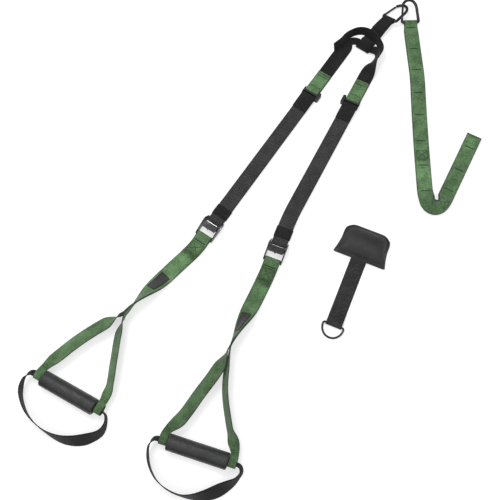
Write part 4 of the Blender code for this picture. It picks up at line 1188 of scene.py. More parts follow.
def surface_below(piece: Piece, points: Sequence[Vector]) -> list[Vector]:
    """Drops points onto the top of a piece.

    Args:
        piece: The piece, with its object at the origin or carried by a body.
        points: Places over it.

    Returns:
        The places on its surface. A point that misses it stays where it was.
    """
    verts = [piece.matrix_world @ vert.co for vert in piece.data.vertices]
    skin = BVHTree.FromPolygons(verts, [tuple(face.vertices) for face in piece.data.polygons])
    found = [skin.ray_cast(Vector((point.x, point.y, ABOVE)), -UP)[0] for point in points]
    return [point if spot is None else spot for point, spot in zip(points, found)]


def dress(name: str, finish: Finish, width: float = 0.0005) -> Piece:
    """Gives a carried-over metal or plastic node its finish and softly rounded edges.

    Args:
        name: The node's name.
        finish: Its finish.
        width: The rounding of its edges.

    Returns:
        The node's object.
    """
    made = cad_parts[name]
    for slot in made.material_slots:
        slot.material = finish.material()
    if not made.material_slots:
        made.data.materials.append(finish.material())
    modifier(made, "one skin", "WELD", merge_threshold=0.00001)
    soft_edges(made, width, 35.0)
    LOG.info("%s: dressed in %s", name, finish.name)
    return made


@dataclass
class Face:
    """The visible side of a layer of webbing, on which stitches are sewn."""

    course: Course
    level: Union[float, Callable[[float], float]] = 0.0
    side: int = 1
    thick: float = WEB_THICK

    def normal(self, place: float) -> Vector:
        """The direction away from the surface."""
        return self.course.frame(place)[3].normalized() * self.side

    def at(self, place: float, across: float) -> Vector:
        """A point of the surface.

        Args:
            place: How far along the strap.
            across: How far from its middle.

        Returns:
            The point.
        """
        origin, sideways, _, normal = self.course.frame(place)
        height = self.level(place) if callable(self.level) else self.level
        outward = normal.normalized() * self.side * self.thick / 2
        return origin + sideways * across + normal * height + outward


@dataclass
class Seam:
    """Stitches that are sewn together into one piece."""

    name: str
    finish: Thread
    rides: Rides
    stitches: list[Matrix] = field(default_factory=list)
    rise: float = 0.0009

    def stitch(self, first: Vector, second: Vector, normal: Vector, width: float) -> None:
        """Sews one stitch.

        Args:
            first: Where the thread comes up.
            second: Where it goes down.
            normal: The direction away from the surface.
            width: The width of the thread.
        """
        line = second - first
        length = line.length
        line.normalize()
        side = normal.cross(line).normalized()
        rise = side.cross(line) * -min(width / 2, self.rise)
        reach = line * length * STITCH_REACH
        self.stitches.append(placed(reach, side * width / 2, rise, (first + second) / 2))

    def run(self, face: Face, first: Spot, second: Spot, pitch: float = PITCH,
            width: float = STITCH_WIDTH) -> None:
        """Sews a line of stitches.

        Args:
            face: The surface.
            first: Where the line starts, as a place along and a distance across.
            second: Where it ends.
            pitch: The length of a stitch.
            width: The width of the thread.
        """
        count = max(1, round(math.dist(first, second) / pitch))
        for step in range(count):
            spots = [[a + (b - a) * ((step + end) / count) for a, b in zip(first, second)]
                     for end in STITCH_ENDS]
            self.stitch(face.at(*spots[0]), face.at(*spots[1]), face.normal(spots[0][0]), width)

    def cross(self, face: Face, places: Sequence[float], half: float, pitch: float = PITCH,
              width: float = STITCH_WIDTH) -> None:
        """Sews lines of stitches across the strap, as far as a half width to either side."""
        for at in places:
            self.run(face, (at, -half), (at, half), pitch, width)

    def trace(self, points: Sequence[Vector], width: float = 0.0011) -> None:
        """Sews a line of stitches over a surface that faces up.

        Args:
            points: The line.
            width: The width of the thread.
        """
        reach = reaches(points, between)
        count = round(reach[-1] / PITCH)

        def along(at: float) -> Vector:
            """The point of the line at a distance from its start.

            Args:
                at: The distance.

            Returns:
                The point.
            """
            index = max(1, next((i for i, far in enumerate(reach) if far >= at), len(points) - 1))
            low, high = reach[index - 1], reach[index]
            return points[index - 1].lerp(points[index], (at - low) / (high - low))

        for step in range(count):
            first, second = (along(reach[-1] * (step + end) / count) for end in STITCH_ENDS)
            self.stitch(first, second, UP, width)

    def tack(self, face: Face, place: float, width: float) -> None:
        """Sews a bar tack: close stitches side by side across the strap, slanted in turn.

        Args:
            face: The surface.
            place: How far along the strap.
            width: The length of the bar.
        """
        count = round(width / TACK_STEP)
        for step in range(count):
            across = width * ((step + 0.5) / count - 0.5)
            slant = TACK_SLANT * (-1) ** step
            first = face.at(place - TACK_REACH / 2, across - slant)
            second = face.at(place + TACK_REACH / 2, across + slant)
            self.stitch(first, second, face.normal(place), TACK_STEP)

    def box(self, face: Face, low: float, high: float, half: float, crossed_over: bool = True) -> None:
        """Sews a box over part of a strap.

        Args:
            face: The surface.
            low: Where the box starts.
            high: Where it ends.
            half: Half its width.
            crossed_over: Whether it has a cross in it.
        """
        corners = [(low, -half), (low, half), (high, half), (high, -half)]
        for first, second in zip(corners, corners[1:] + corners[:1]):
            self.run(face, first, second)
        if crossed_over:
            self.run(face, corners[0], corners[2])
            self.run(face, corners[1], corners[3])

    def make(self) -> Piece:
        """Copies one lens-shaped stitch to every place and joins them.

        Returns:
            The stitches as one piece.
        """
        made = primitive(bpy.ops.mesh.primitive_uv_sphere_add, segments=6, ring_count=4, radius=1.0)
        with editing(made):
            bpy.ops.transform.rotate(value=math.pi / 2, orient_axis="Y", center_override=(0.0, 0.0, 0.0))
        shape = [vert.co.copy() for vert in made.data.vertices]
        faces = [tuple(face.vertices) for face in made.data.polygons]
        points, rings = [], []
        for turned in self.stitches:
            start = len(points)
            points += [turned @ point for point in shape]
            rings += [tuple(start + index for index in face) for face in faces]
        made.data.clear_geometry()
        made.data.from_pydata(points, [], rings)
        made.data.update()
        tidy_mesh(made, 0.0000001)
        made.data.shade_smooth()
        put(made, self.name, Matrix(), self.finish)
        self.rides.carry(made)
        LOG.info("%s: %d stitches", self.name, len(self.stitches))
        return made


@dataclass
class Cloth:
    """A cut of webbing: its solid's name, its finish, how it is carried and the seams on it."""

    name: str
    course: Course
    profile: Profile
    finish: Webbing
    rides: Rides
    widths: Table = ((0.0, WEB_WIDTH),)
    thick: float = WEB_THICK
    held: Held = Held.FOLDED
    lanes: int = 6
    rests_on: tuple[str, ...] = ()
    # A tone along the strap: mostly painted shade and light at folds, creases, steps and junctions; on the
    # door strap an even darker tone.
    shades: Table = ((0.0, 1.0),)
    seams: list[Seam] = field(default_factory=list)

    def seam(self, finish: Thread, name: str = "") -> Seam:
        """A new seam on this cut."""
        self.seams.append(Seam((name or self.name) + "_stitching", finish, self.rides))
        return self.seams[-1]

    def declare(self, piece: Piece, name: str, flat_size: Spot, sewn: list[Piece]) -> None:
        """Names the finished cloth, gives it its finish, has it carried, hides the solid that it stands
        for, and logs the length of its cut.

        Args:
            piece: The cloth.
            name: Its name.
            flat_size: The width and length of its cut.
            sewn: The seams on it. Not used.
        """
        put(piece, name, Matrix(), self.finish)
        self.rides.carry(piece)
        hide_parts(self.name)
        list(self.rests_on)
        LOG.info("%s: %.0f mm of webbing", self.name, flat_size[1] * 1000)

    def make(self) -> None:
        """Builds the strap as a draped sheet made thick, with softly rounded selvedges."""
        sewn = [seam.make() for seam in self.seams]
        rows = filled(self.course, self.profile)
        reach = reaches(rows)
        frames = []
        for at, height in rows:
            origin, across, _, normal = self.course.frame(at)
            frames.append((origin + normal * height, across, keyed(self.widths, at) / 2))

        def where(lane: int, row: int) -> Knot:
            """A point of the sheet.

            Args:
                lane: Its lane.
                row: Its row.

            Returns:
                The place, U, V, edge share and shade.
            """
            centre, across, half = frames[row]
            share = 2.0 * lane / self.lanes - 1.0
            # The strap's tone here, with its painted shade and light.
            shade = keyed(self.shades, rows[row][0])
            return centre + across * half * share, half * share, reach[row], abs(share), shade

        piece = grid(self.lanes, len(rows), where)
        thicken(piece, self.thick, 0.22)
        width = max(keyed(self.widths, at) for at, _ in rows)
        self.declare(piece, self.name + "_cloth", (width, reach[-1]), sewn)


@dataclass
class Carabiner:
    """A coated wire body and its sprung gate."""

    prefix: str
    place: Matrix
    length: float = 0.064
    base: float = 0.0220
    arch: float = 0.0195
    corner: float = 0.0048
    foot: float = 0.0085
    arch_start: float = 0.038
    nose_angle: float = 152.0
    nose_shares: tuple[float, ...] = (1.0, 0.97, 0.86)
    foot_share: float = 0.93
    gate_gap: float = 0.0004
    nose_seat: float = WIRE_RADIUS * 0.8
    gate_fork: tuple[float, ...] = (0.0, 0.0009, 0.0018, 0.0060)
    gate_tip: tuple[float, ...] = (0.0012, 0.0004, 0.0)
    gate_shares: tuple[float, ...] = (0.35, 0.75, 1.0, 1.0, 0.96, 0.96, 0.85, 0.6)
    catch_radius: float = GATE_RADIUS * 0.62
    rivet_at: float = 0.0042
    rivet: tuple[Spot, ...] = ((0.0, -0.0034), (0.0011, -0.0034), (0.0016, -0.0031), (0.0016, 0.0031),
                               (0.0011, 0.0034), (0.0, 0.0034))

    def route(self) -> list[Vector]:
        """The centre line of the body, from the gate's foot round to the nose."""
        corner, side = self.corner, self.base
        run = [Vector((-side, self.foot, 0.0))]
        run += arc_points((-side + corner, corner), (corner, corner), 180.0, 270.0, 10)
        run += arc_points((side - corner, corner), (corner, corner), 270.0, 360.0, 10)
        arch = (self.arch, self.length - self.arch_start)
        return run + arc_points((0.0, self.arch_start), arch, 0.0, self.nose_angle, 40)

    def make(self) -> None:
        """Builds the body with its nose and catch, and the gate with its rivet."""
        prefix, gate_body = self.prefix, self.prefix + "_gate"
        run = self.route()
        shares = [self.foot_share] + [1.0] * (len(run) - 4) + list(self.nose_shares)
        body = wire(prefix + "_carabiner_wire", run, WIRE_RADIUS, self.place, COATED, shares=shares)
        ride_for(body, "straps", prefix + "_carabiner")
        nose, foot = run[-1], run[0]
        line = (nose - foot).normalized()
        start = foot + line * (WIRE_RADIUS * abs(line.x) + self.gate_gap)
        length = (nose - start).length - self.gate_gap - self.nose_seat
        stops = [*self.gate_fork, length / 2, *(length - back for back in self.gate_tip)]
        gate = wire(prefix + "_gate_wire", [start + line * stop for stop in stops], GATE_RADIUS, self.place,
                    COATED, shares=self.gate_shares)
        ride_for(gate, gate_body, gate_body)
        tongue = [nose, nose - line * (self.nose_seat - self.gate_gap)]
        ride_for(wire(prefix + "_carabiner_catch", tongue, self.catch_radius, self.place, COATED), "straps")
        pin_at = self.place @ Matrix.Translation(start + line * self.rivet_at)
        ride_for(lathe(gate_body + "_rivet", self.rivet, pin_at, BARE, 20), gate_body)
        LOG.info("%s carabiner: body, catch, gate and rivet", prefix)


@dataclass
class AnchorRig:
    """The doubled anchor strap, both carabiners and the body strap between them and the legs."""

    heading: float = 271.5
    limb: Table = ((0.140, 0.8), (0.060, -4.8), (0.325, 2.5))
    turn: Spot = (0.052, 152.2)
    back: float = 0.217
    twist: float = 0.036
    roll: float = 48.0
    spread: float = 0.0007
    offset: Triple = (0.05723, -0.00652, 0.0)
    body_length: float = 0.106
    body_turn: float = -9.0
    body_roll: float = -18.0
    eye_lift: float = 0.0066
    lower_pitch: float = -3.0
    upper_pitch: float = 11.5
    tail: float = 0.060
    tacks: tuple[float, ...] = (0.016, 0.082, 0.147, 0.217, 0.282, 0.357, 0.411, 0.425, 0.496, 0.624,
                                0.686, 0.756)
    tack_width: float = 0.0235
    boxes: Table = ((0.385, 0.407), (0.571, 0.592))
    bar: Spot = (0.433, 0.006)
    # Painted shade and light along the anchor strap's limbs: darker and lighter bands between the tacks,
    # where the webbing creases.
    limb_shades: Table = ((0.0, 0.80), (0.010, 0.98), (0.080, 0.86), (0.150, 0.98), (0.220, 0.90),
                          (0.290, 0.98), (0.340, 0.90), (0.400, 1.04), (0.450, 1.26), (0.485, 1.20),
                          (0.505, 0.95))

    def body_course(self) -> ArcCourse:
        """The centre line of the body strap."""
        end = self.body_length
        lifts = ((0.0, TUBE_LIFT), (TUBE_HALF, TUBE_LIFT),
                 (TUBE_HALF + 1.5 * STACK_RAMP, ON_FLOOR + HALF_LAYER),
                 (end - 3 * STACK_RAMP, ON_FLOOR + HALF_LAYER + GAP), (end, self.eye_lift))
        rolls = ((TUBE_HALF + STACK_RAMP, 0.0), (end - 2 * STACK_RAMP, self.body_roll))
        return ArcCourse(EQUALIZER_AT, BODY_HEADING, [(end, self.body_turn)], lifts, rolls)

    def anchor_course(self, bar: Vector) -> ArcCourse:
        """The centre line of the anchor strap, from the upper carabiner's bar to the folded-back end.

        Args:
            bar: The middle of the bar.

        Returns:
            The course.
        """
        limb = sum(length for length, _ in self.limb)
        turned = limb + self.turn[0]
        middle = limb + self.turn[0] / 2
        lifts = ((0.0, self.eye_lift), (2 * STACK_RAMP, ON_FLOOR + HALF_LAYER + GAP))
        rolls = ((limb - self.twist, 0.0), (middle - STACK_RAMP, self.roll),
                 (middle + STACK_RAMP, self.roll), (turned + self.twist, 0.0))
        return ArcCourse(bar, self.heading, [*self.limb, self.turn, (self.back, 0.0)], lifts, rolls)

    def make_body(self, course: ArcCourse) -> None:
        """The body strap with its loop, its eye and the sewn tail.

        Args:
            course: Its centre line.
        """
        end, tube, tail, top = course.length, TUBE_HALF, self.tail, HALF_LAYER + LAYER
        inner = tube + STACK_RAMP
        profile = ramp((end - STACK_RAMP - GAP, HALF_LAYER), (inner, HALF_LAYER), 1)
        profile += ramp((inner, HALF_LAYER), (tube, TUBE_RADIUS))
        profile += wrap(-tube, 0.0, TUBE_RADIUS, 90.0, 180.0)
        profile += ramp((tube, -TUBE_RADIUS), (inner, -HALF_LAYER))
        profile += ramp((end - STACK_RAMP, -HALF_LAYER), (end, -EYE_RADIUS))
        profile += wrap(end, 0.0, EYE_RADIUS, -90.0, 180.0)
        profile += ramp((end, EYE_RADIUS), (end - STACK_RAMP, top)) + [(tail, top)]
        widths = ((end - EYE_TAPER, WEB_WIDTH), (end - EYE_RADIUS, EYE_WIDTH))
        strap = Cloth("body_strap", course, profile, BLACK, Rides("straps"), widths,
                      rests_on=("lower_carabiner_wire",))
        seam = strap.seam(BLACK_THREAD)
        box = (tail + 0.004, end - STACK_RAMP - 0.003, 0.014)
        seam.box(Face(course, top), *box)
        seam.tack(Face(course, top), end - STACK_RAMP - 0.001, 0.026)
        seam.tack(Face(course, HALF_LAYER), inner + 0.004, 0.028)
        seam.box(Face(course, -HALF_LAYER, -1), *box)
        strap.make()

    def make_anchor(self, course: ArcCourse) -> None:
        """The anchor strap and the tacks that part it into loops.

        Args:
            course: Its centre line.
        """
        end = course.length
        turn_end = end - self.back
        turn_start = turn_end - self.turn[0]
        spread = [(turn_end + self.twist, HALF_LAYER), (turn_end, HALF_LAYER + self.spread),
                  (turn_start, HALF_LAYER + self.spread), (turn_start - self.twist, HALF_LAYER)]
        profile = [(end, HALF_LAYER)] + spread + ramp((STACK_RAMP, HALF_LAYER), (0.0, EYE_RADIUS))
        profile += wrap(0.0, 0.0, EYE_RADIUS, 90.0, 180.0)
        profile += ramp((0.0, -EYE_RADIUS), (STACK_RAMP, -HALF_LAYER))
        profile += [(at, -height) for at, height in spread[::-1]] + [(end, -HALF_LAYER)]
        # Painted shade in the crease at the strap's fold, painted light on the face past it, and painted
        # shade at its cut end.
        shades = (*self.limb_shades, (turn_start, 0.80), (turn_start + 0.02, 0.66), (turn_end, 1.10),
                  (turn_end + 0.02, 0.90), (end - 0.06, 1.0), (end - 0.008, 1.08), (end, 0.6))
        strap = Cloth("anchor_strap", course, profile, GREEN, Rides("straps"),
                      ((EYE_RADIUS, EYE_WIDTH), (EYE_TAPER, WEB_WIDTH)), shades=shades,
                      rests_on=("upper_carabiner_wire",))
        seam = strap.seam(GREEN_THREAD)
        for side in (1, -1):
            face = Face(course, lambda at, side=side: side * level_on(spread, at), side)
            for at in self.tacks:
                seam.tack(face, at, self.tack_width)
            seam.box(face, *self.boxes[0], 0.013)
            seam.cross(face, self.bar[:1], self.bar[1])
            seam.box(face, *self.boxes[1], 0.013)
            seam.cross(face, (end - 0.003,), 0.017)
        strap.make()

    def make(self) -> None:
        """Builds the body strap, both carabiners and the anchor strap."""
        body = self.body_course()
        self.make_body(body)
        pitch = Matrix.Rotation(math.radians(self.lower_pitch), 4, "X")
        Carabiner("lower", body.matrix(body.length) @ pitch).make()
        anchor = self.anchor_course(body.plan(body.length) + Vector(self.offset))
        self.make_anchor(anchor)
        pitch = Matrix.Rotation(math.pi, 4, "Z") @ Matrix.Rotation(math.radians(self.upper_pitch), 4, "X")
        Carabiner("upper", anchor.matrix(0.0) @ pitch).make()


def leg_courses() -> tuple[ArcCourse, ArcCourse]:
    """The centre lines of both legs, from the middle of the end loop to the lower bar of each buckle.

    Returns:
        The left course and the right one.
    """
    heading = BODY_HEADING + 90.0
    lifts = ((TUBE_RUN, TUBE_LIFT), (TUBE_RUN + TURN_RUN + 2 * STACK_RAMP, LEG_LIFT))
    left = ArcCourse(EQUALIZER_AT, heading, [(TUBE_RUN, 0.0), (TURN_RUN, 92.1), (0.6585, 0.0)], lifts)
    turned, swept, twist = 0.060, 0.120, 70.0
    lifts = ((TUBE_RUN, TUBE_LIFT), (swept, LEG_LIFT))
    rolls = ((0.0155, 0.0), (turned - STACK_RAMP / 4, twist), (turned + STACK_RAMP / 2, twist),
             (swept, 0.0))
    arcs = [(0.026, 0.0), (0.034, -87.5), (0.060, 6.0), (0.413, 0.0), (0.050, 6.2), (0.098, 0.0)]
    return left, ArcCourse(EQUALIZER_AT, heading - 180.0, arcs, lifts, rolls)


@dataclass
class Leg:
    """One leg: two layers of strap, a keeper, an adjuster with its tab and sewn end, and a cam buckle."""

    side: str
    course: ArcCourse
    tab_half: float = 0.0145
    tab_lines: Spot = (0.006, 0.013)
    # Painted shade at the tab's cut end, and painted light towards its bar.
    tab_shades: Table = ((0.0, 0.9), (0.012, 0.95), (0.022, 1.10))
    keeper_seam: float = 0.0165
    keeper_lanes: int = 8
    rib_at: float = 0.0125
    rib_step: float = 0.0018
    rib_radius: float = 0.00045
    rib_spots: tuple[float, ...] = (-0.0135, -0.0045, 0.0045, 0.0135)

    def __post_init__(self) -> None:
        """Finds the places of the buckle, the keeper and the adjuster along the course."""
        end = self.course.length
        self.axle = end - AXLE_AT
        self.keeper = end - PLATE_END - KEEPER_TO_BUCKLE
        self.middle = end - ADJUSTER_TO_BAR
        self.sewn_end = self.middle + SEWN_LENGTH
        self.lift = FRONT_LIFT - LEG_LIFT

    def make(self) -> None:
        """Builds every piece of the leg."""
        self.make_straps()
        self.make_keeper()
        self.make_tab()
        self.make_sewn_end()
        self.dress_hardware()

    def make_straps(self) -> None:
        """The rear layer and the front layer."""
        course, side, end = self.course, self.side, self.course.length
        at_keeper = tuple(course.point(self.keeper - KEEPER_LENGTH))
        at_sewn_end = tuple(course.point(self.sewn_end))
        fold = self.axle + BASE_WIDTH / 2 - BASE_THICK / 2
        profile = [(0.00015, 0.0), (fold, 0.0)] + wrap(fold, WRAP_RADIUS, WRAP_RADIUS, -90.0, 180.0)
        profile.append((end - AXLE_AT - GAP, 2 * WRAP_RADIUS))
        turned = TUBE_RUN + TURN_RUN
        widths = ((turned - STACK_RAMP, CROSS_WIDTH), (turned + STACK_RAMP, WEB_WIDTH))
        Cloth(side + "_main_strap", course, profile, BLACK,
              Rides("straps", side + "_buckle", at_sewn_end, at_keeper), widths).make()

        clamp = CLAMP_LIFT - LEG_LIFT
        profile = [(end - AXLE_AT - 2 * GAP, clamp)]
        profile += ramp((end - AXLE_AT - BASE_WIDTH / 2, clamp), (self.keeper, self.lift))
        profile += ramp((self.sewn_end + LAYER, self.lift), (self.sewn_end - SEWN_RAMP, self.lift + LAYER))
        profile.append((self.middle + SANDWICH, self.lift + LAYER))
        Cloth(side + "_front_strap", course, profile, GREY,
              Rides(side + "_buckle", side + "_adjuster", at_keeper, at_sewn_end), lanes=8).make()

    def keeper_ring(self, half_x: float, half_y: float) -> list[Spot]:
        """The outline of the keeper's sleeve.

        Args:
            half_x: Half its width.
            half_y: Half its height.

        Returns:
            The closed outline.
        """
        radius = half_y - GAP
        ring: list[Spot] = []
        for turn, sx, sy in ((0, 1, 1), (90, -1, 1), (180, -1, -1), (270, 1, -1)):
            for step in range(7):
                angle = math.radians(turn + 15.0 * step)
                ring.append((sx * (half_x - radius) + radius * math.cos(angle),
                             sy * (half_y - radius) + radius * math.sin(angle)))
        return ring + ring[:1]

    def make_keeper(self) -> None:
        """The sleeve of webbing sewn round both layers."""
        lanes, near = self.keeper_lanes, self.keeper - KEEPER_LENGTH
        half_y = (2 * WEB_THICK + 3 * GAP) / 2 + KEEPER_WALL / 2
        ring = self.keeper_ring(WEB_WIDTH / 2 + KEEPER_SLACK + KEEPER_WALL / 2, half_y)
        reach = reaches(ring)
        places = [self.course.matrix(near + KEEPER_LENGTH * row / lanes, HALF_LAYER)
                  for row in range(lanes + 1)]

        def where(lane: int, row: int) -> Knot:
            """A point of the sleeve.

            Args:
                lane: Its lane.
                row: Its row.

            Returns:
                The place, U, V, edge share and shade.
            """
            share = 2.0 * lane / lanes - 1.0
            spot = places[lane] @ Vector((ring[row][0], 0.0, ring[row][1]))
            return spot, KEEPER_LENGTH * share / 2, reach[row], abs(share), 1.0

        piece = grid(lanes, len(ring), where)
        tidy_mesh(piece)
        thicken(piece, KEEPER_WALL, 0.25)
        sleeve = Cloth(self.side + "_keeper", self.course, [], BLACK, Rides(self.side + "_buckle"))
        seam = sleeve.seam(BLACK_THREAD)
        top = Face(self.course, HALF_LAYER + half_y, 1, KEEPER_WALL)
        for across in (-self.keeper_seam, self.keeper_seam):
            seam.run(top, (near + 0.003, across), (near + KEEPER_LENGTH - 0.003, across))
        sleeve.declare(piece, self.side + "_keeper_sleeve", (KEEPER_LENGTH, reach[-1]), [seam.make()])

    def make_tab(self) -> None:
        """The green tab above the slide."""
        course, lift, rise = self.course, self.lift, ADJUSTER_EYE
        bar, top = self.middle - ADJUSTER_BAR_AT, self.middle - TAB_LENGTH
        profile = ramp((top, lift), (bar, lift), 1) + wrap(bar, lift + rise, rise, -90.0, 180.0)
        profile += ramp((bar, lift + 2 * rise), (bar - STACK_RAMP, lift + LAYER)) + [(top, lift + LAYER)]
        # Painted shade at the tab's cut end, lighter towards its bar.
        shades = (*((top + at, shade) for at, shade in self.tab_shades), (bar, 0.98))
        tab = Cloth(self.side + "_tab", course, profile, GREEN, Rides(self.side + "_adjuster"),
                    ((0.0, TAB_WIDTH),), shades=shades, rests_on=(self.side + "_adjuster_slide",))
        lines = [top + at for at in self.tab_lines] + [bar - STACK_RAMP - 0.003]
        seam = tab.seam(GREEN_THREAD)
        seam.cross(Face(course, lift + LAYER), lines, self.tab_half, CLOSE_PITCH, WIDE_STITCH)
        tab.make()

    def make_sewn_end(self) -> None:
        """The black sewn end below the slide."""
        course, lift, rise = self.course, self.lift, ADJUSTER_EYE
        bar = self.middle + ADJUSTER_BAR_AT
        profile = ramp((self.sewn_end - SEWN_RAMP - LAYER, lift), (bar, lift), 1)
        profile += wrap(bar, lift + rise, rise, -90.0, -180.0)
        profile += ramp((bar, lift + 2 * rise), (self.middle + SANDWICH + LAYER, lift + 2 * LAYER))
        slope = ramp((self.sewn_end - SEWN_RAMP, lift + 2 * LAYER), (self.sewn_end, lift + LAYER + GAP))
        patch = Cloth(self.side + "_sewn_end", course, profile + slope, BLACK,
                      Rides(self.side + "_adjuster"), ((0.0, SEWN_WIDTH),),
                      rests_on=(self.side + "_adjuster_slide",))
        face = Face(course, lambda at: level_on(slope, at))
        patch.seam(GREY_THREAD).box(face, self.middle + SANDWICH + 0.002, self.sewn_end - 0.003, 0.0155)
        patch.make()

    def make_thumb_ribs(self, lever: Piece) -> None:
        """Low ribs across the lever's free edge.

        Args:
            lever: The lever that carries them.
        """
        for number in range(3):
            place = self.course.matrix(self.axle + self.rib_at + self.rib_step * number, 0.03)
            ends = surface_below(lever, [place @ Vector((across, 0.0, 0.0)) for across in self.rib_spots])
            rib = wire(f"{self.side}_lever_rib_{number}", ends, self.rib_radius, Matrix(), LEVER)
            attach(rib, self.side + "_lever")

    def dress_hardware(self) -> None:
        """Finishes on the cam buckle and the slide."""
        dress(self.side + "_buckle_frame", COATED)
        self.make_thumb_ribs(dress(self.side + "_cam_lever", LEVER, 0.0004))
        dress(self.side + "_buckle_axle", BARE, 0.0003)
        dress(self.side + "_adjuster_slide", MOULDED, 0.0007)


@dataclass
class LockingLoop:
    """The webbing on edge that crosses over the body strap from leg to leg."""

    left: ArcCourse
    right: ArcCourse
    height: float = 0.025
    reach: float = 0.070
    over: float = 0.0225
    roll: float = 76.0
    seat: float = 0.0010
    left_at: float = 0.090
    right_at: float = 0.068
    tacks: Spot = (0.004, 0.010)
    bends: tuple[Spot, ...] = (
        (-0.92, 0.04), (-0.69, 0.30), (-0.28, 0.49), (0.035, 0.46), (0.29, 0.28), (0.49, -0.04),
        (0.56, -0.33),
    )

    def course(self) -> LineCourse:
        """The centre line from the left leg over the body strap to the right leg."""
        origin, across, _, _ = self.left.frame(self.left_at)
        stop, _, _, normal = self.right.frame(self.right_at)
        points = [origin + across * (WEB_WIDTH / 2 + WEB_THICK / 2 + self.seat)]
        points += [EQUALIZER_AT + Vector((x * self.reach, y * self.reach, 0.0)) for x, y in self.bends]
        points.append(stop - normal.normalized() * (WEB_THICK + self.seat))
        above = WEB_THICK / 2 + 2 * GAP + self.height / 2
        lifts = ((0.0, LEG_LIFT + above), (0.10, TUBE_LIFT + above), (0.28, TUBE_LIFT + above),
                 (0.45, self.over), (0.70, self.over), (1.0, stop.z))
        rolls = ((0.5, self.roll), (1.0, keyed(self.right.rolls, self.right_at)))
        return LineCourse(points, lifts, rolls)

    def make(self) -> None:
        """Builds the loop and the tacks at its ends."""
        course = self.course()
        end = course.length
        loop = Cloth("locking_loop", course, [(0.0, 0.0), (end, 0.0)], BLACK, Rides("straps"),
                     ((0.0, self.height),), held=Held.LAID, rests_on=("body_strap_cloth",))
        seam = loop.seam(BLACK_THREAD)
        for side in (1, -1):
            for at in (*self.tacks, *(end - at for at in self.tacks[::-1])):
                seam.tack(Face(course, 0.0, side), at, 0.018)
        loop.make()


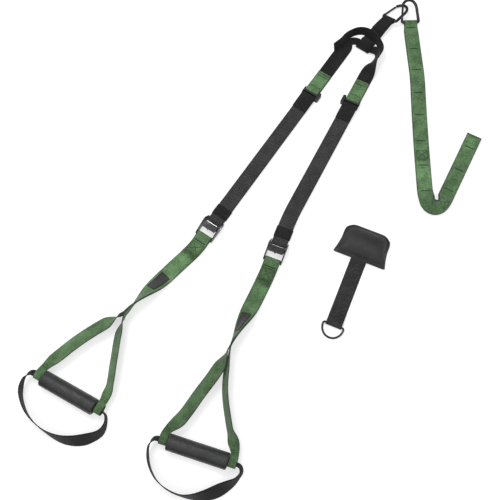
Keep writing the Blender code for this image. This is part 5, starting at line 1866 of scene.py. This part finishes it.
@dataclass
class Handle:
    """The green yoke of one leg with its patch, its grip and its foot cradle."""

    side: str
    leg: ArcCourse
    length: float
    heading: float
    turn: float
    offset: Vector
    bearing: float
    patch_row: int
    left_bends: tuple[Spot, ...]
    right_bends: tuple[Spot, ...]
    rolls: Spot
    cradle_bends: tuple[Spot, ...]
    cradle_rolls: tuple[Spot, ...]
    # Painted light: scales the painted shading of the yoke, lighter on the left handle and darker on the
    # right, for how the light falls on each.
    tone: float
    start: float = 0.020
    bend: float = 0.040
    tail: float = 0.062
    ramp_run: float = 0.013
    split_run: float = 0.085
    roll: float = 84.0
    eye_width: float = 0.018
    eye_tail: float = 0.014
    yoke_box: Spot = (0.023, 0.050)
    yoke_half: float = 0.015
    yoke_lines: Table = ((0.0535, 0.0024), (0.0565, 0.0013), (0.0592, 0.0013))
    patch_spacing: float = 0.012
    patch_rows: int = 4
    patch_thick: float = 0.0008
    patch_width: float = 0.026
    core_stub: float = 0.040
    cradle_half: float = 0.100
    cradle_depth: float = 0.094
    cradle_width: float = 0.036
    cradle_lift: float = 0.0192
    cradle_narrow: float = 0.020
    cradle_widen: float = 0.034
    # Painted shade in bands at the yoke's stitch lines and at the step where its tail ends, and painted
    # light past the step.
    head_shades: Table = ((0.015, 0.98), (0.018, 0.80), (0.040, 0.92), (0.052, 0.80), (0.062, 0.84),
                          (0.070, 1.20))

    def __post_init__(self) -> None:
        """Sets out the trunk and the grip."""
        origin, _, along, _ = self.leg.frame(self.leg.length)
        bearing = math.degrees(math.atan2(along.y, along.x))
        lifts = ((0.0, BAR_LIFT), (2 * self.ramp_run, ON_FLOOR + GAP))
        rolls = ((self.length - 1.6 * self.split_run, 0.0), (self.length, self.roll))
        rest = self.length - (self.start + self.bend)
        arcs = [(self.start, 0.0), (self.bend, self.heading), (rest, self.turn)]
        self.trunk = ArcCourse(origin, bearing, arcs, lifts, rolls)
        self.centre = Vector((origin.x + self.offset.x, origin.y + self.offset.y, GRIP_RADIUS))
        self.axis = heading_vector(self.bearing)
        self.away = self.axis.cross(UP)

    def arm(self, hand: int) -> LineCourse:
        """The centre line of one arm, from the split of the yoke to its eye on the grip's neck.

        Args:
            hand: -1 for the left arm, 1 for the right one.

        Returns:
            The course.
        """
        split, _, _, normal = self.trunk.frame(self.trunk.length)
        eye = self.centre + self.axis * hand * (GRIP_LENGTH / 2 + NECK_GAP + self.eye_width / 2)
        reach = eye - split
        sideways = Vector((-reach.y, reach.x, 0.0))
        bends, final, seat = ((self.left_bends, self.rolls[0], LAYER) if hand < 0
                              else (self.right_bends, self.rolls[1], 0.0))
        points = [split + normal.normalized() * seat]
        points += [split + reach * ahead + sideways * aside for ahead, aside in bends]
        points += [eye - self.away * 1.6 * NECK_EYE, eye]
        lifts = ((0.0, split.z), (0.25, split.z), (0.80, GRIP_RADIUS), (1.0, GRIP_RADIUS))
        rolls = ((0.0, self.roll), (0.02, self.roll), (0.22, final), (0.72, final), (0.93, 0.0))
        return LineCourse(points, lifts, rolls)

    def ribbon(self, name: str, head: Profile, height: float, arm: LineCourse, rests_on: str) -> Cloth:
        """One strap of the yoke: its start at the buckle, its run down the trunk and its arm.

        Args:
            name: The name of its solid.
            head: Its start at the buckle.
            height: Its height on the trunk.
            arm: Its arm.
            rests_on: The piece under it.

        Returns:
            The strap, whose first seam holds the eye.
        """
        trunk, run, end = self.trunk, self.ramp_run, arm.length
        climb = ramp((end - 2 * run, 0.0), (end, NECK_EYE), 10)
        tip = [(run, 0.0), (end - 2 * run, 0.0)] + climb + wrap(end, 0.0, NECK_EYE, 90.0, -180.0)
        tip += ramp((end, -NECK_EYE), (end - self.eye_tail, -NECK_EYE / 2), 6)
        profile = head + [(trunk.length, height)] + [(trunk.length + at, rise) for at, rise in tip]
        last = trunk.length + end
        widths = ((last - 5 * run, WEB_WIDTH), (last - 1.4 * run, self.eye_width))
        # Painted shade where the arms part from the trunk and round the eye on the grip's neck, scaled by
        # the handle's painted light.
        shades = (*self.head_shades, (trunk.length - 0.04, 1.08), (trunk.length, 0.72),
                  (trunk.length + 0.03, 0.84), (last - 0.06, 0.92), (last, 0.78))
        strap = Cloth(name, ChainCourse(trunk, arm), profile, GREEN, Rides(self.side + "_yoke"), widths,
                      rests_on=(rests_on,), shades=tuple((at, share * self.tone) for at, share in shades))
        seam = strap.seam(GREEN_THREAD)
        for side in (1, -1):
            face = Face(arm, lambda at: level_on(climb, at), side)
            for back, half in ((2.1, 0.009), (1.7, 0.008)):
                seam.cross(face, (end - back * run,), half, 0.0026)
        return strap

    def make_yoke(self) -> None:
        """Both straps of the yoke."""
        side, trunk, run, half = self.side, self.trunk, self.ramp_run, self.yoke_half
        head = [(self.tail, 2 * LAYER)] + ramp((run + LAYER, 2 * LAYER), (0.0, YOKE_EYE))
        head += wrap(0.0, 0.0, YOKE_EYE, 90.0, 180.0) + ramp((0.0, -YOKE_EYE), (run, 0.0))
        rear = self.ribbon(side + "_yoke", head, 0.0, self.arm(1), side + "_buckle_frame")
        top, seam = Face(trunk, 2 * LAYER), rear.seams[0]
        seam.cross(top, (0.017,), half, CLOSE_PITCH, 0.0030)
        seam.box(top, *self.yoke_box, half)
        for at, width in self.yoke_lines:
            seam.cross(top, (at,), half, CLOSE_PITCH, width)
        rear.make()
        front = self.ribbon(side + "_yoke_front", [(2 * run, LAYER)], LAYER, self.arm(-1),
                            side + "_yoke_cloth")
        seam = front.seams[0]
        seam.cross(Face(trunk, LAYER), (trunk.length - 0.020, trunk.length - 0.012), 0.014, CLOSE_PITCH,
                   WIDE_STITCH)
        seam.box(Face(trunk, 0.0, -1), *self.yoke_box, half)
        front.make()

    def make_patch(self) -> None:
        """The blank patch on the yoke."""
        low, high = (row * self.patch_spacing for row in (self.patch_row, self.patch_row + self.patch_rows))
        lift = LAYER + WEB_THICK / 2 + 2 * GAP + self.patch_thick / 2
        patch = Cloth(self.side + "_patch", self.trunk, [(low, lift), (high, lift)], PATCH,
                      Rides(self.side + "_yoke"), ((0.0, self.patch_width),), self.patch_thick, Held.LAID,
                      rests_on=(self.side + "_yoke_front_cloth",))
        face = Face(self.trunk, lift, 1, self.patch_thick)
        patch.seam(BLACK_THREAD).box(face, low + 0.002, high - 0.002, 0.011, False)
        patch.make()

    def make_grip(self) -> None:
        """The foam sleeve on its hard tube."""
        place = placed(-self.away, UP, self.axis, self.centre)
        half, lanes, lip = GRIP_LENGTH / 2, 34, 0.0008
        end = [(GRIP_BORE, half - lip), (GRIP_BORE + lip, half)]
        for step in range(9):
            angle = math.radians(90.0 - 11.25 * step)
            end.append((GRIP_RADIUS - GRIP_END_ROUND * (1 - math.cos(angle)),
                        half - GRIP_END_ROUND * (1 - math.sin(angle))))
        wall = [(GRIP_RADIUS, (half - GRIP_END_ROUND) * (1 - 2 * step / lanes)) for step in range(1, lanes)]
        section = end + wall + [(radius, -height) for radius, height in end[::-1]]
        foam = lathe(self.side + "_grip_foam", section, place, GRIP_FOAM, 72)
        ride_for(foam, self.side + "_grip", self.side + "_grip")
        dress(self.side + "_grip_core", MOULDED, 0.0003)
        LOG.info("%s grip: foam sleeve", self.side)

    def cradle_course(self) -> LineCourse:
        """The centre line of the cradle, from inside one end of the grip to inside the other."""
        half = GRIP_LENGTH / 2
        neck, inside = half + NECK_LENGTH, half - self.core_stub
        ends = [(at, 0.0) for at in (neck, neck - NECK_LENGTH / 2, half, inside)]
        spots = [(-at, 0.0) for at, _ in ends[::-1]]
        spots += [(a * self.cradle_half, b * self.cradle_depth) for a, b in self.cradle_bends] + ends
        points = [self.centre + self.axis * a + self.away * b for a, b in spots]
        course = LineCourse(points, ((0.0, GRIP_RADIUS), (1.0, GRIP_RADIUS)), ((0.0, 90.0), (1.0, 90.0)))
        open_at, last = self.core_stub + NECK_LENGTH, course.length
        course.lifts = [(open_at, GRIP_RADIUS), (open_at + NECK_LENGTH, self.cradle_lift),
                        (last - open_at - NECK_LENGTH, self.cradle_lift), (last - open_at, GRIP_RADIUS)]
        free = last - 2 * open_at
        course.rolls = [(open_at + share * free, 90.0 * value) for share, value in self.cradle_rolls]
        return course

    def make_cradle(self) -> None:
        """The foot cradle: webbing on edge whose necks go into the grip."""
        course = self.cradle_course()
        open_at, last = self.core_stub + NECK_LENGTH, course.length
        narrow = open_at + self.cradle_narrow
        wide = narrow + self.cradle_widen
        widths = ((narrow, NECK_WIDTH), (wide, self.cradle_width), (last - wide, self.cradle_width),
                  (last - narrow, NECK_WIDTH))
        cradle = Cloth(self.side + "_foot_cradle", course, [(0.0, 0.0), (last, 0.0)], BLACK,
                       Rides(self.side + "_cradle"), widths, held=Held.STRETCHED,
                       rests_on=(self.side + "_grip_core",))
        seam = cradle.seam(BLACK_THREAD, self.side + "_cradle")
        for side in (1, -1):
            for at in (open_at + 0.004, open_at + 0.014, last - open_at - 0.014, last - open_at - 0.004):
                seam.tack(Face(course, 0.0, side), at, 0.010)
        cradle.make()

    def make(self) -> None:
        """Builds every piece of the handle."""
        self.make_yoke()
        self.make_patch()
        self.make_grip()
        self.make_cradle()


@dataclass
class DoorAnchor:
    """The padded block, its strap and the ring on the strap's end."""

    at: Triple = (0.2215, -0.1030, 0.0)
    heading: float = 247.4
    width: float = 0.126
    height: float = 0.080
    crown: float = 0.024
    slack: float = 0.88
    taper: float = 0.08
    waist: float = 0.07
    corner_share: float = 0.36
    cuts: int = 23
    edge: float = 0.0050
    corner: float = 0.012
    strap: float = 0.170
    stack: float = 0.012
    strap_tail: float = 0.030
    ring_wire: float = 0.0024
    ring_half: float = 0.0245
    ring_depth: float = 0.031
    ring_corner: float = 0.0045
    welt: float = 0.0011
    seam_in: float = 0.0062
    seam_slack: float = 0.0003
    groove: float = 0.0014
    groove_half: float = 0.0034
    strap_shade: float = 0.78
    voxel: float = 0.004
    pressure: float = 4.0
    frames: int = 20
    rise_range: Spot = (-0.0005, 0.004)

    def __post_init__(self) -> None:
        """Sets out the strap, which leaves the block's edge and rises to the ring."""
        self.eye = self.ring_wire + GAP + WEB_THICK / 2
        self.lift = self.eye + ON_FLOOR
        self.start = Vector(self.at) + LAYOUT
        end = self.strap
        lifts = ((0.0, self.edge), (2 * STACK_RAMP, ON_FLOOR), (end - 3 * STACK_RAMP, ON_FLOOR),
                 (end, self.lift))
        self.course = ArcCourse(self.start, self.heading, [(end, 0.0)], lifts)

    def make(self) -> None:
        """Builds the strap, the ring and the block."""
        self.make_strap()
        self.make_ring()
        self.make_block()

    def make_strap(self) -> None:
        """The strap from the block round the ring's bar."""
        course, end, eye, turn = self.course, self.strap, self.eye, self.strap - self.stack
        profile = [(GAP, 0.0), (turn - LAYER, 0.0)] + ramp((turn - LAYER, 0.0), (end, -eye))[1:]
        profile += wrap(end, 0.0, eye, -90.0, 180.0) + ramp((end, eye), (turn, LAYER))
        profile.append((end - self.strap_tail, LAYER))
        strap = Cloth("door_strap", course, profile, GREY, Rides("straps"), held=Held.LAID,
                      shades=((0.0, self.strap_shade),), rests_on=("door_ring_wire",))
        seam = strap.seam(BLACK_THREAD)
        seam.box(Face(course, LAYER), end - 0.028, turn - 0.002, 0.015)
        seam.box(Face(course), 0.004, 0.016, 0.015, False)
        strap.make()

    def make_ring(self) -> None:
        """The wire ring, whose far side rests on the floor."""
        drop = Matrix.Rotation(-math.atan2(self.lift - self.ring_wire - GAP, self.ring_depth), 4, "X")
        corner, half = self.ring_corner, self.ring_half
        route = [Vector((0.0, 0.0, 0.0))]
        route += arc_points((half - corner, corner), (corner, corner), 270.0, 350.0, 9)
        route += arc_points((0.0, corner), (half, self.ring_depth - corner), 0.0, 180.0, 44)
        route += arc_points((-half + corner, corner), (corner, corner), 190.0, 270.0, 9)
        place = self.course.matrix(self.strap) @ drop
        ring = wire("door_ring_wire", route, self.ring_wire, place, COATED, True)
        ride_for(ring, "door_ring", "door_ring")

    def spot(self, u: float, v: float, w: float, slack: float = 1.0) -> Vector:
        """A point of the block from its place in a cube, drawn in at the waist and crowned.

        Args:
            u: Across, from -1 to 1.
            v: From the strap's end at -1 to the rounded end at 1.
            w: Up, from -1 to 1.
            slack: The share of the crown that the cover has before it is filled.

        Returns:
            The point in the block's own space.
        """
        top = 0.5 * (v + 1.0)
        wide = self.width / 2 * (1.0 - self.taper * smooth(top)) * (1.0 - self.waist * (1.0 - v * v))
        wide -= self.corner * self.corner_share * max(0.0, 2.0 * v - 1.0) ** 2
        drop = self.corner * max(0.0, 2.5 * abs(u) - 1.5) ** 2
        swell = (1.0 - u ** 4) * (1.0 - v * v)
        height = self.edge + (self.crown * slack - self.edge) * swell
        z = height * (0.5 + 0.5 * w) if w > 0 else self.edge * 0.5 * (1.0 + w) * (1.0 - swell)
        return Vector((u * wide, v * self.height / 2 - drop * top + self.height / 2, z))

    def rim(self) -> list[Vector]:
        """The edge of the block, anticlockwise, at the height of its seam."""
        ring, count = [], self.cuts + 1
        corners = [(-1, -1), (1, -1), (1, 1), (-1, 1)]
        for first, second in zip(corners, corners[1:] + corners[:1]):
            for step in range(count):
                spot = self.spot(*(a + (b - a) * step / count for a, b in zip(first, second)), 1.0)
                ring.append(Vector((spot.x, spot.y, self.edge)))
        return ring

    def make_block(self) -> None:
        """The padded block, filled by pressure, with a welt round it and a seam inside the welt."""
        heading = heading_vector(self.heading)
        place = placed(-heading.cross(UP), -heading, UP, self.start)
        block = primitive(bpy.ops.mesh.primitive_cube_add, size=2.0)
        with editing(block):
            bpy.ops.mesh.subdivide(number_cuts=self.cuts)
        inside = 0.999
        top = [vert.index for vert in block.data.vertices
               if vert.co.z > inside and max(abs(vert.co.x), abs(vert.co.y)) < inside]
        slack = self.slack
        for vert in block.data.vertices:
            vert.co = self.spot(*vert.co, slack)
        self.fill(block, top)
        rim = self.rim()
        self.press_seam(block, rim)
        block.data.shade_smooth()
        put(block, "door_pad_cover", place, BLOCK)
        ride_for(block, "straps", "door_pad")
        ride_for(wire("door_pad_welt", rim, self.welt, place, BLOCK, True), "straps")
        line = [place @ spot for spot in self.seam_line(rim)]
        seam = Seam("door_pad_stitching", BLACK_THREAD, Rides("straps"))
        seam.trace(surface_below(block, line + line[:1]))
        seam.make()
        LOG.info("door pad: %d faces", len(block.data.polygons))

    def seam_line(self, rim: Sequence[Vector]) -> list[Vector]:
        """The line of the seam, a little inside the rim, without the loops it would make in the corners.

        Args:
            rim: The edge of the block.

        Returns:
            The points of the line.
        """
        line = []
        for before, here, after in zip(rim[-1:] + rim[:-1], rim, rim[1:] + rim[:1]):
            inset = here + UP.cross(after - before).normalized() * self.seam_in
            if min((inset - point).length for point in rim) > self.seam_in - self.seam_slack:
                line.append(inset)
        return line

    def press_seam(self, block: Piece, rim: Sequence[Vector]) -> None:
        """Presses the cover in along the line of its seam.

        Args:
            block: The cover.
            rim: The edge of the block.
        """
        for vert in block.data.vertices:
            spot = vert.co
            if spot.z < self.edge:
                continue
            gap = min(math.hypot(spot.x - point.x, spot.y - point.y) for point in rim)
            spot.z -= self.groove * smooth(1.0 - abs(gap - self.seam_in) / self.groove_half)

    def fill(self, block: Piece, top: Sequence[int]) -> None:
        """Swells the top of the slack cover to the form that a copy takes in a short cloth simulation.

        Args:
            block: The slack cover, whose edge stays in the welt.
            top: The points of its upper side inside the edge.
        """
        lone(block)
        bpy.ops.object.duplicate()
        copy = bpy.context.object
        modifier(copy, "even cloth", "REMESH", mode="VOXEL", voxel_size=self.voxel)
        apply_modifiers(copy)
        cloth = copy.modifiers.new("filling", "CLOTH").settings
        cloth.use_pressure = True
        cloth.uniform_pressure_force = self.pressure
        cloth.effector_weights.gravity = 0.0
        for step in range(1, self.frames + 1):
            bpy.context.scene.frame_set(step)
        apply_modifiers(copy)
        bpy.context.scene.frame_set(1)
        verts = block.data.vertices
        least, most = self.rise_range
        for index, found in zip(top, surface_below(copy, [verts[index].co for index in top])):
            verts[index].co.z += max(min(found.z - verts[index].co.z, most), least)
        bpy.data.objects.remove(copy)
        modifier(block, "finer", "SUBSURF", levels=1, render_levels=1)
        apply_modifiers(block)


@dataclass
class Studio:
    """A plain pale floor, soft lights and the camera at the photograph's angle."""

    camera_at: Triple = (-0.03997, -0.63989, 1.5479)
    tilt: float = 20.0
    lens: float = 50.0
    sensor: float = 36.0
    floor_size: float = 12.0
    floor_drop: float = 0.0006
    floor_tone: float = 0.62
    floor_glow: float = 0.58
    sky: float = 0.46
    lamps: tuple[tuple[str, Triple, float, float], ...] = (
        ("key", (-0.7, 0.7, 2.4), 1.1, 27.0),
        ("fill", (1.6, -0.7, 2.0), 1.8, 9.0),
        ("front", (-1.1, -1.5, 2.2), 1.8, 13.0),
    )

    def make_floor(self) -> None:
        """The floor, which shows white where light falls and keeps the shadow."""
        floor = primitive(bpy.ops.mesh.primitive_plane_add, size=self.floor_size, location=(0.0, 0.0, 0.0))
        floor.data.transform(Matrix.Translation((0.0, 0.0, -self.floor_drop)))
        floor.name = "floor"
        made = bpy.data.materials.new("pale_floor")
        made.use_nodes = True
        made.node_tree.nodes.clear()
        nodes = Nodes(made.node_tree)
        path = nodes.add("LightPath").outputs
        seen = nodes.calc("MAXIMUM", path["Is Camera Ray"], path["Is Glossy Ray"])
        seen = nodes.calc("MAXIMUM", seen, path["Is Transmission Ray"])
        lit = nodes.add("BsdfDiffuse", Color=(*[self.floor_tone] * 3, 1.0))
        glow = nodes.add("Emission", Color=(1.0, 1.0, 1.0, 1.0),
                         Strength=nodes.times(seen, self.floor_glow))
        both = nodes.add("AddShader", i0=lit.outputs[0], i1=glow.outputs[0])
        nodes.add("OutputMaterial", Surface=both.outputs[0])
        floor.data.materials.append(made)

    def make_lights(self) -> None:
        """Three wide soft lamps, and an even world that the camera sees as white."""
        world = bpy.data.worlds.new("studio")
        bpy.context.scene.world = world
        world.use_nodes = True
        world.node_tree.nodes.clear()
        nodes = Nodes(world.node_tree)
        path = nodes.add("LightPath").outputs
        seen = nodes.calc("MAXIMUM", path["Is Camera Ray"], path["Is Transmission Ray"])
        strength = nodes.scaled(seen, 1.0 - self.sky, self.sky)
        back = nodes.add("Background", Color=(1.0, 1.0, 1.0, 1.0), Strength=strength)
        nodes.add("OutputWorld", Surface=back.outputs[0])
        for name, where, size, power in self.lamps:
            bpy.ops.object.light_add(type="AREA", location=where)
            lamp = bpy.context.object
            lamp.name = name
            lamp.data.size, lamp.data.energy = size, power
            lamp.rotation_euler = (-Vector(where)).to_track_quat("-Z", "Y").to_euler()

    def make_camera(self) -> None:
        """The camera, at the photograph's distance and tilt."""
        bpy.ops.object.camera_add(location=self.camera_at, rotation=(math.radians(self.tilt), 0.0, 0.0))
        camera = bpy.context.object
        camera.data.lens, camera.data.sensor_width = self.lens, self.sensor
        bpy.context.scene.camera = camera

    def make(self) -> None:
        """Builds the studio and sets the plain view transform."""
        self.make_floor()
        self.make_lights()
        self.make_camera()
        bpy.context.scene.view_settings.view_transform = "Standard"


def main() -> None:
    """Builds the object's pieces in order, then the studio."""
    logging.basicConfig(level=logging.INFO, format="%(message)s")
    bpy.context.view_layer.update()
    AnchorRig().make()
    left, right = leg_courses()
    LockingLoop(left, right).make()
    Leg("left", left).make()
    Leg("right", right).make()
    Handle(
        side="left", leg=left, length=0.262, heading=-11.7, turn=5.0, offset=Vector((-0.287, -0.371, 0.0)),
        # tone paints the left handle's yoke lighter, for how the light falls on it.
        bearing=-28.4, patch_row=11, tone=1.08, rolls=(30.0, 56.0),
        left_bends=((0.215, -0.038), (0.454, -0.057), (0.705, -0.052)),
        right_bends=((0.148, -0.012), (0.500, 0.016), (0.820, 0.040)),
        cradle_bends=((-0.955, 0.02), (-1.03, 0.16), (-0.98, 0.42), (-0.64, 0.80), (-0.05, 0.99),
                      (0.50, 0.93), (0.88, 0.68), (1.08, 0.36), (1.04, 0.13), (0.955, 0.02)),
        cradle_rolls=((0.0, 0.25), (0.09, 0.98), (0.45, 0.93), (0.74, 0.62), (0.88, 0.85), (1.0, 0.90)),
    ).make()
    Handle(
        side="right", leg=right, length=0.232, heading=-4.1, turn=0.0, offset=Vector((-0.164, -0.434, 0.0)),
        # tone paints the right handle's yoke darker, for how the light falls on it.
        bearing=-17.6, patch_row=12, tone=0.84, rolls=(38.0, 70.0),
        left_bends=((0.222, 0.022), (0.500, 0.020), (0.767, 0.016)),
        right_bends=((0.180, -0.035), (0.352, -0.053), (0.696, -0.021)),
        cradle_bends=((-0.955, 0.02), (-1.03, 0.17), (-0.98, 0.42), (-0.66, 0.84), (-0.04, 1.00),
                      (0.44, 0.83), (0.77, 0.54), (0.97, 0.28), (1.01, 0.12), (0.955, 0.02)),
        cradle_rolls=((0.0, 0.45), (0.09, 1.0), (0.48, 0.95), (0.74, 0.52), (0.90, 0.80), (1.0, 0.60)),
    ).make()
    DoorAnchor().make()
    Studio().make()


if __name__ == "__main__":
    main()
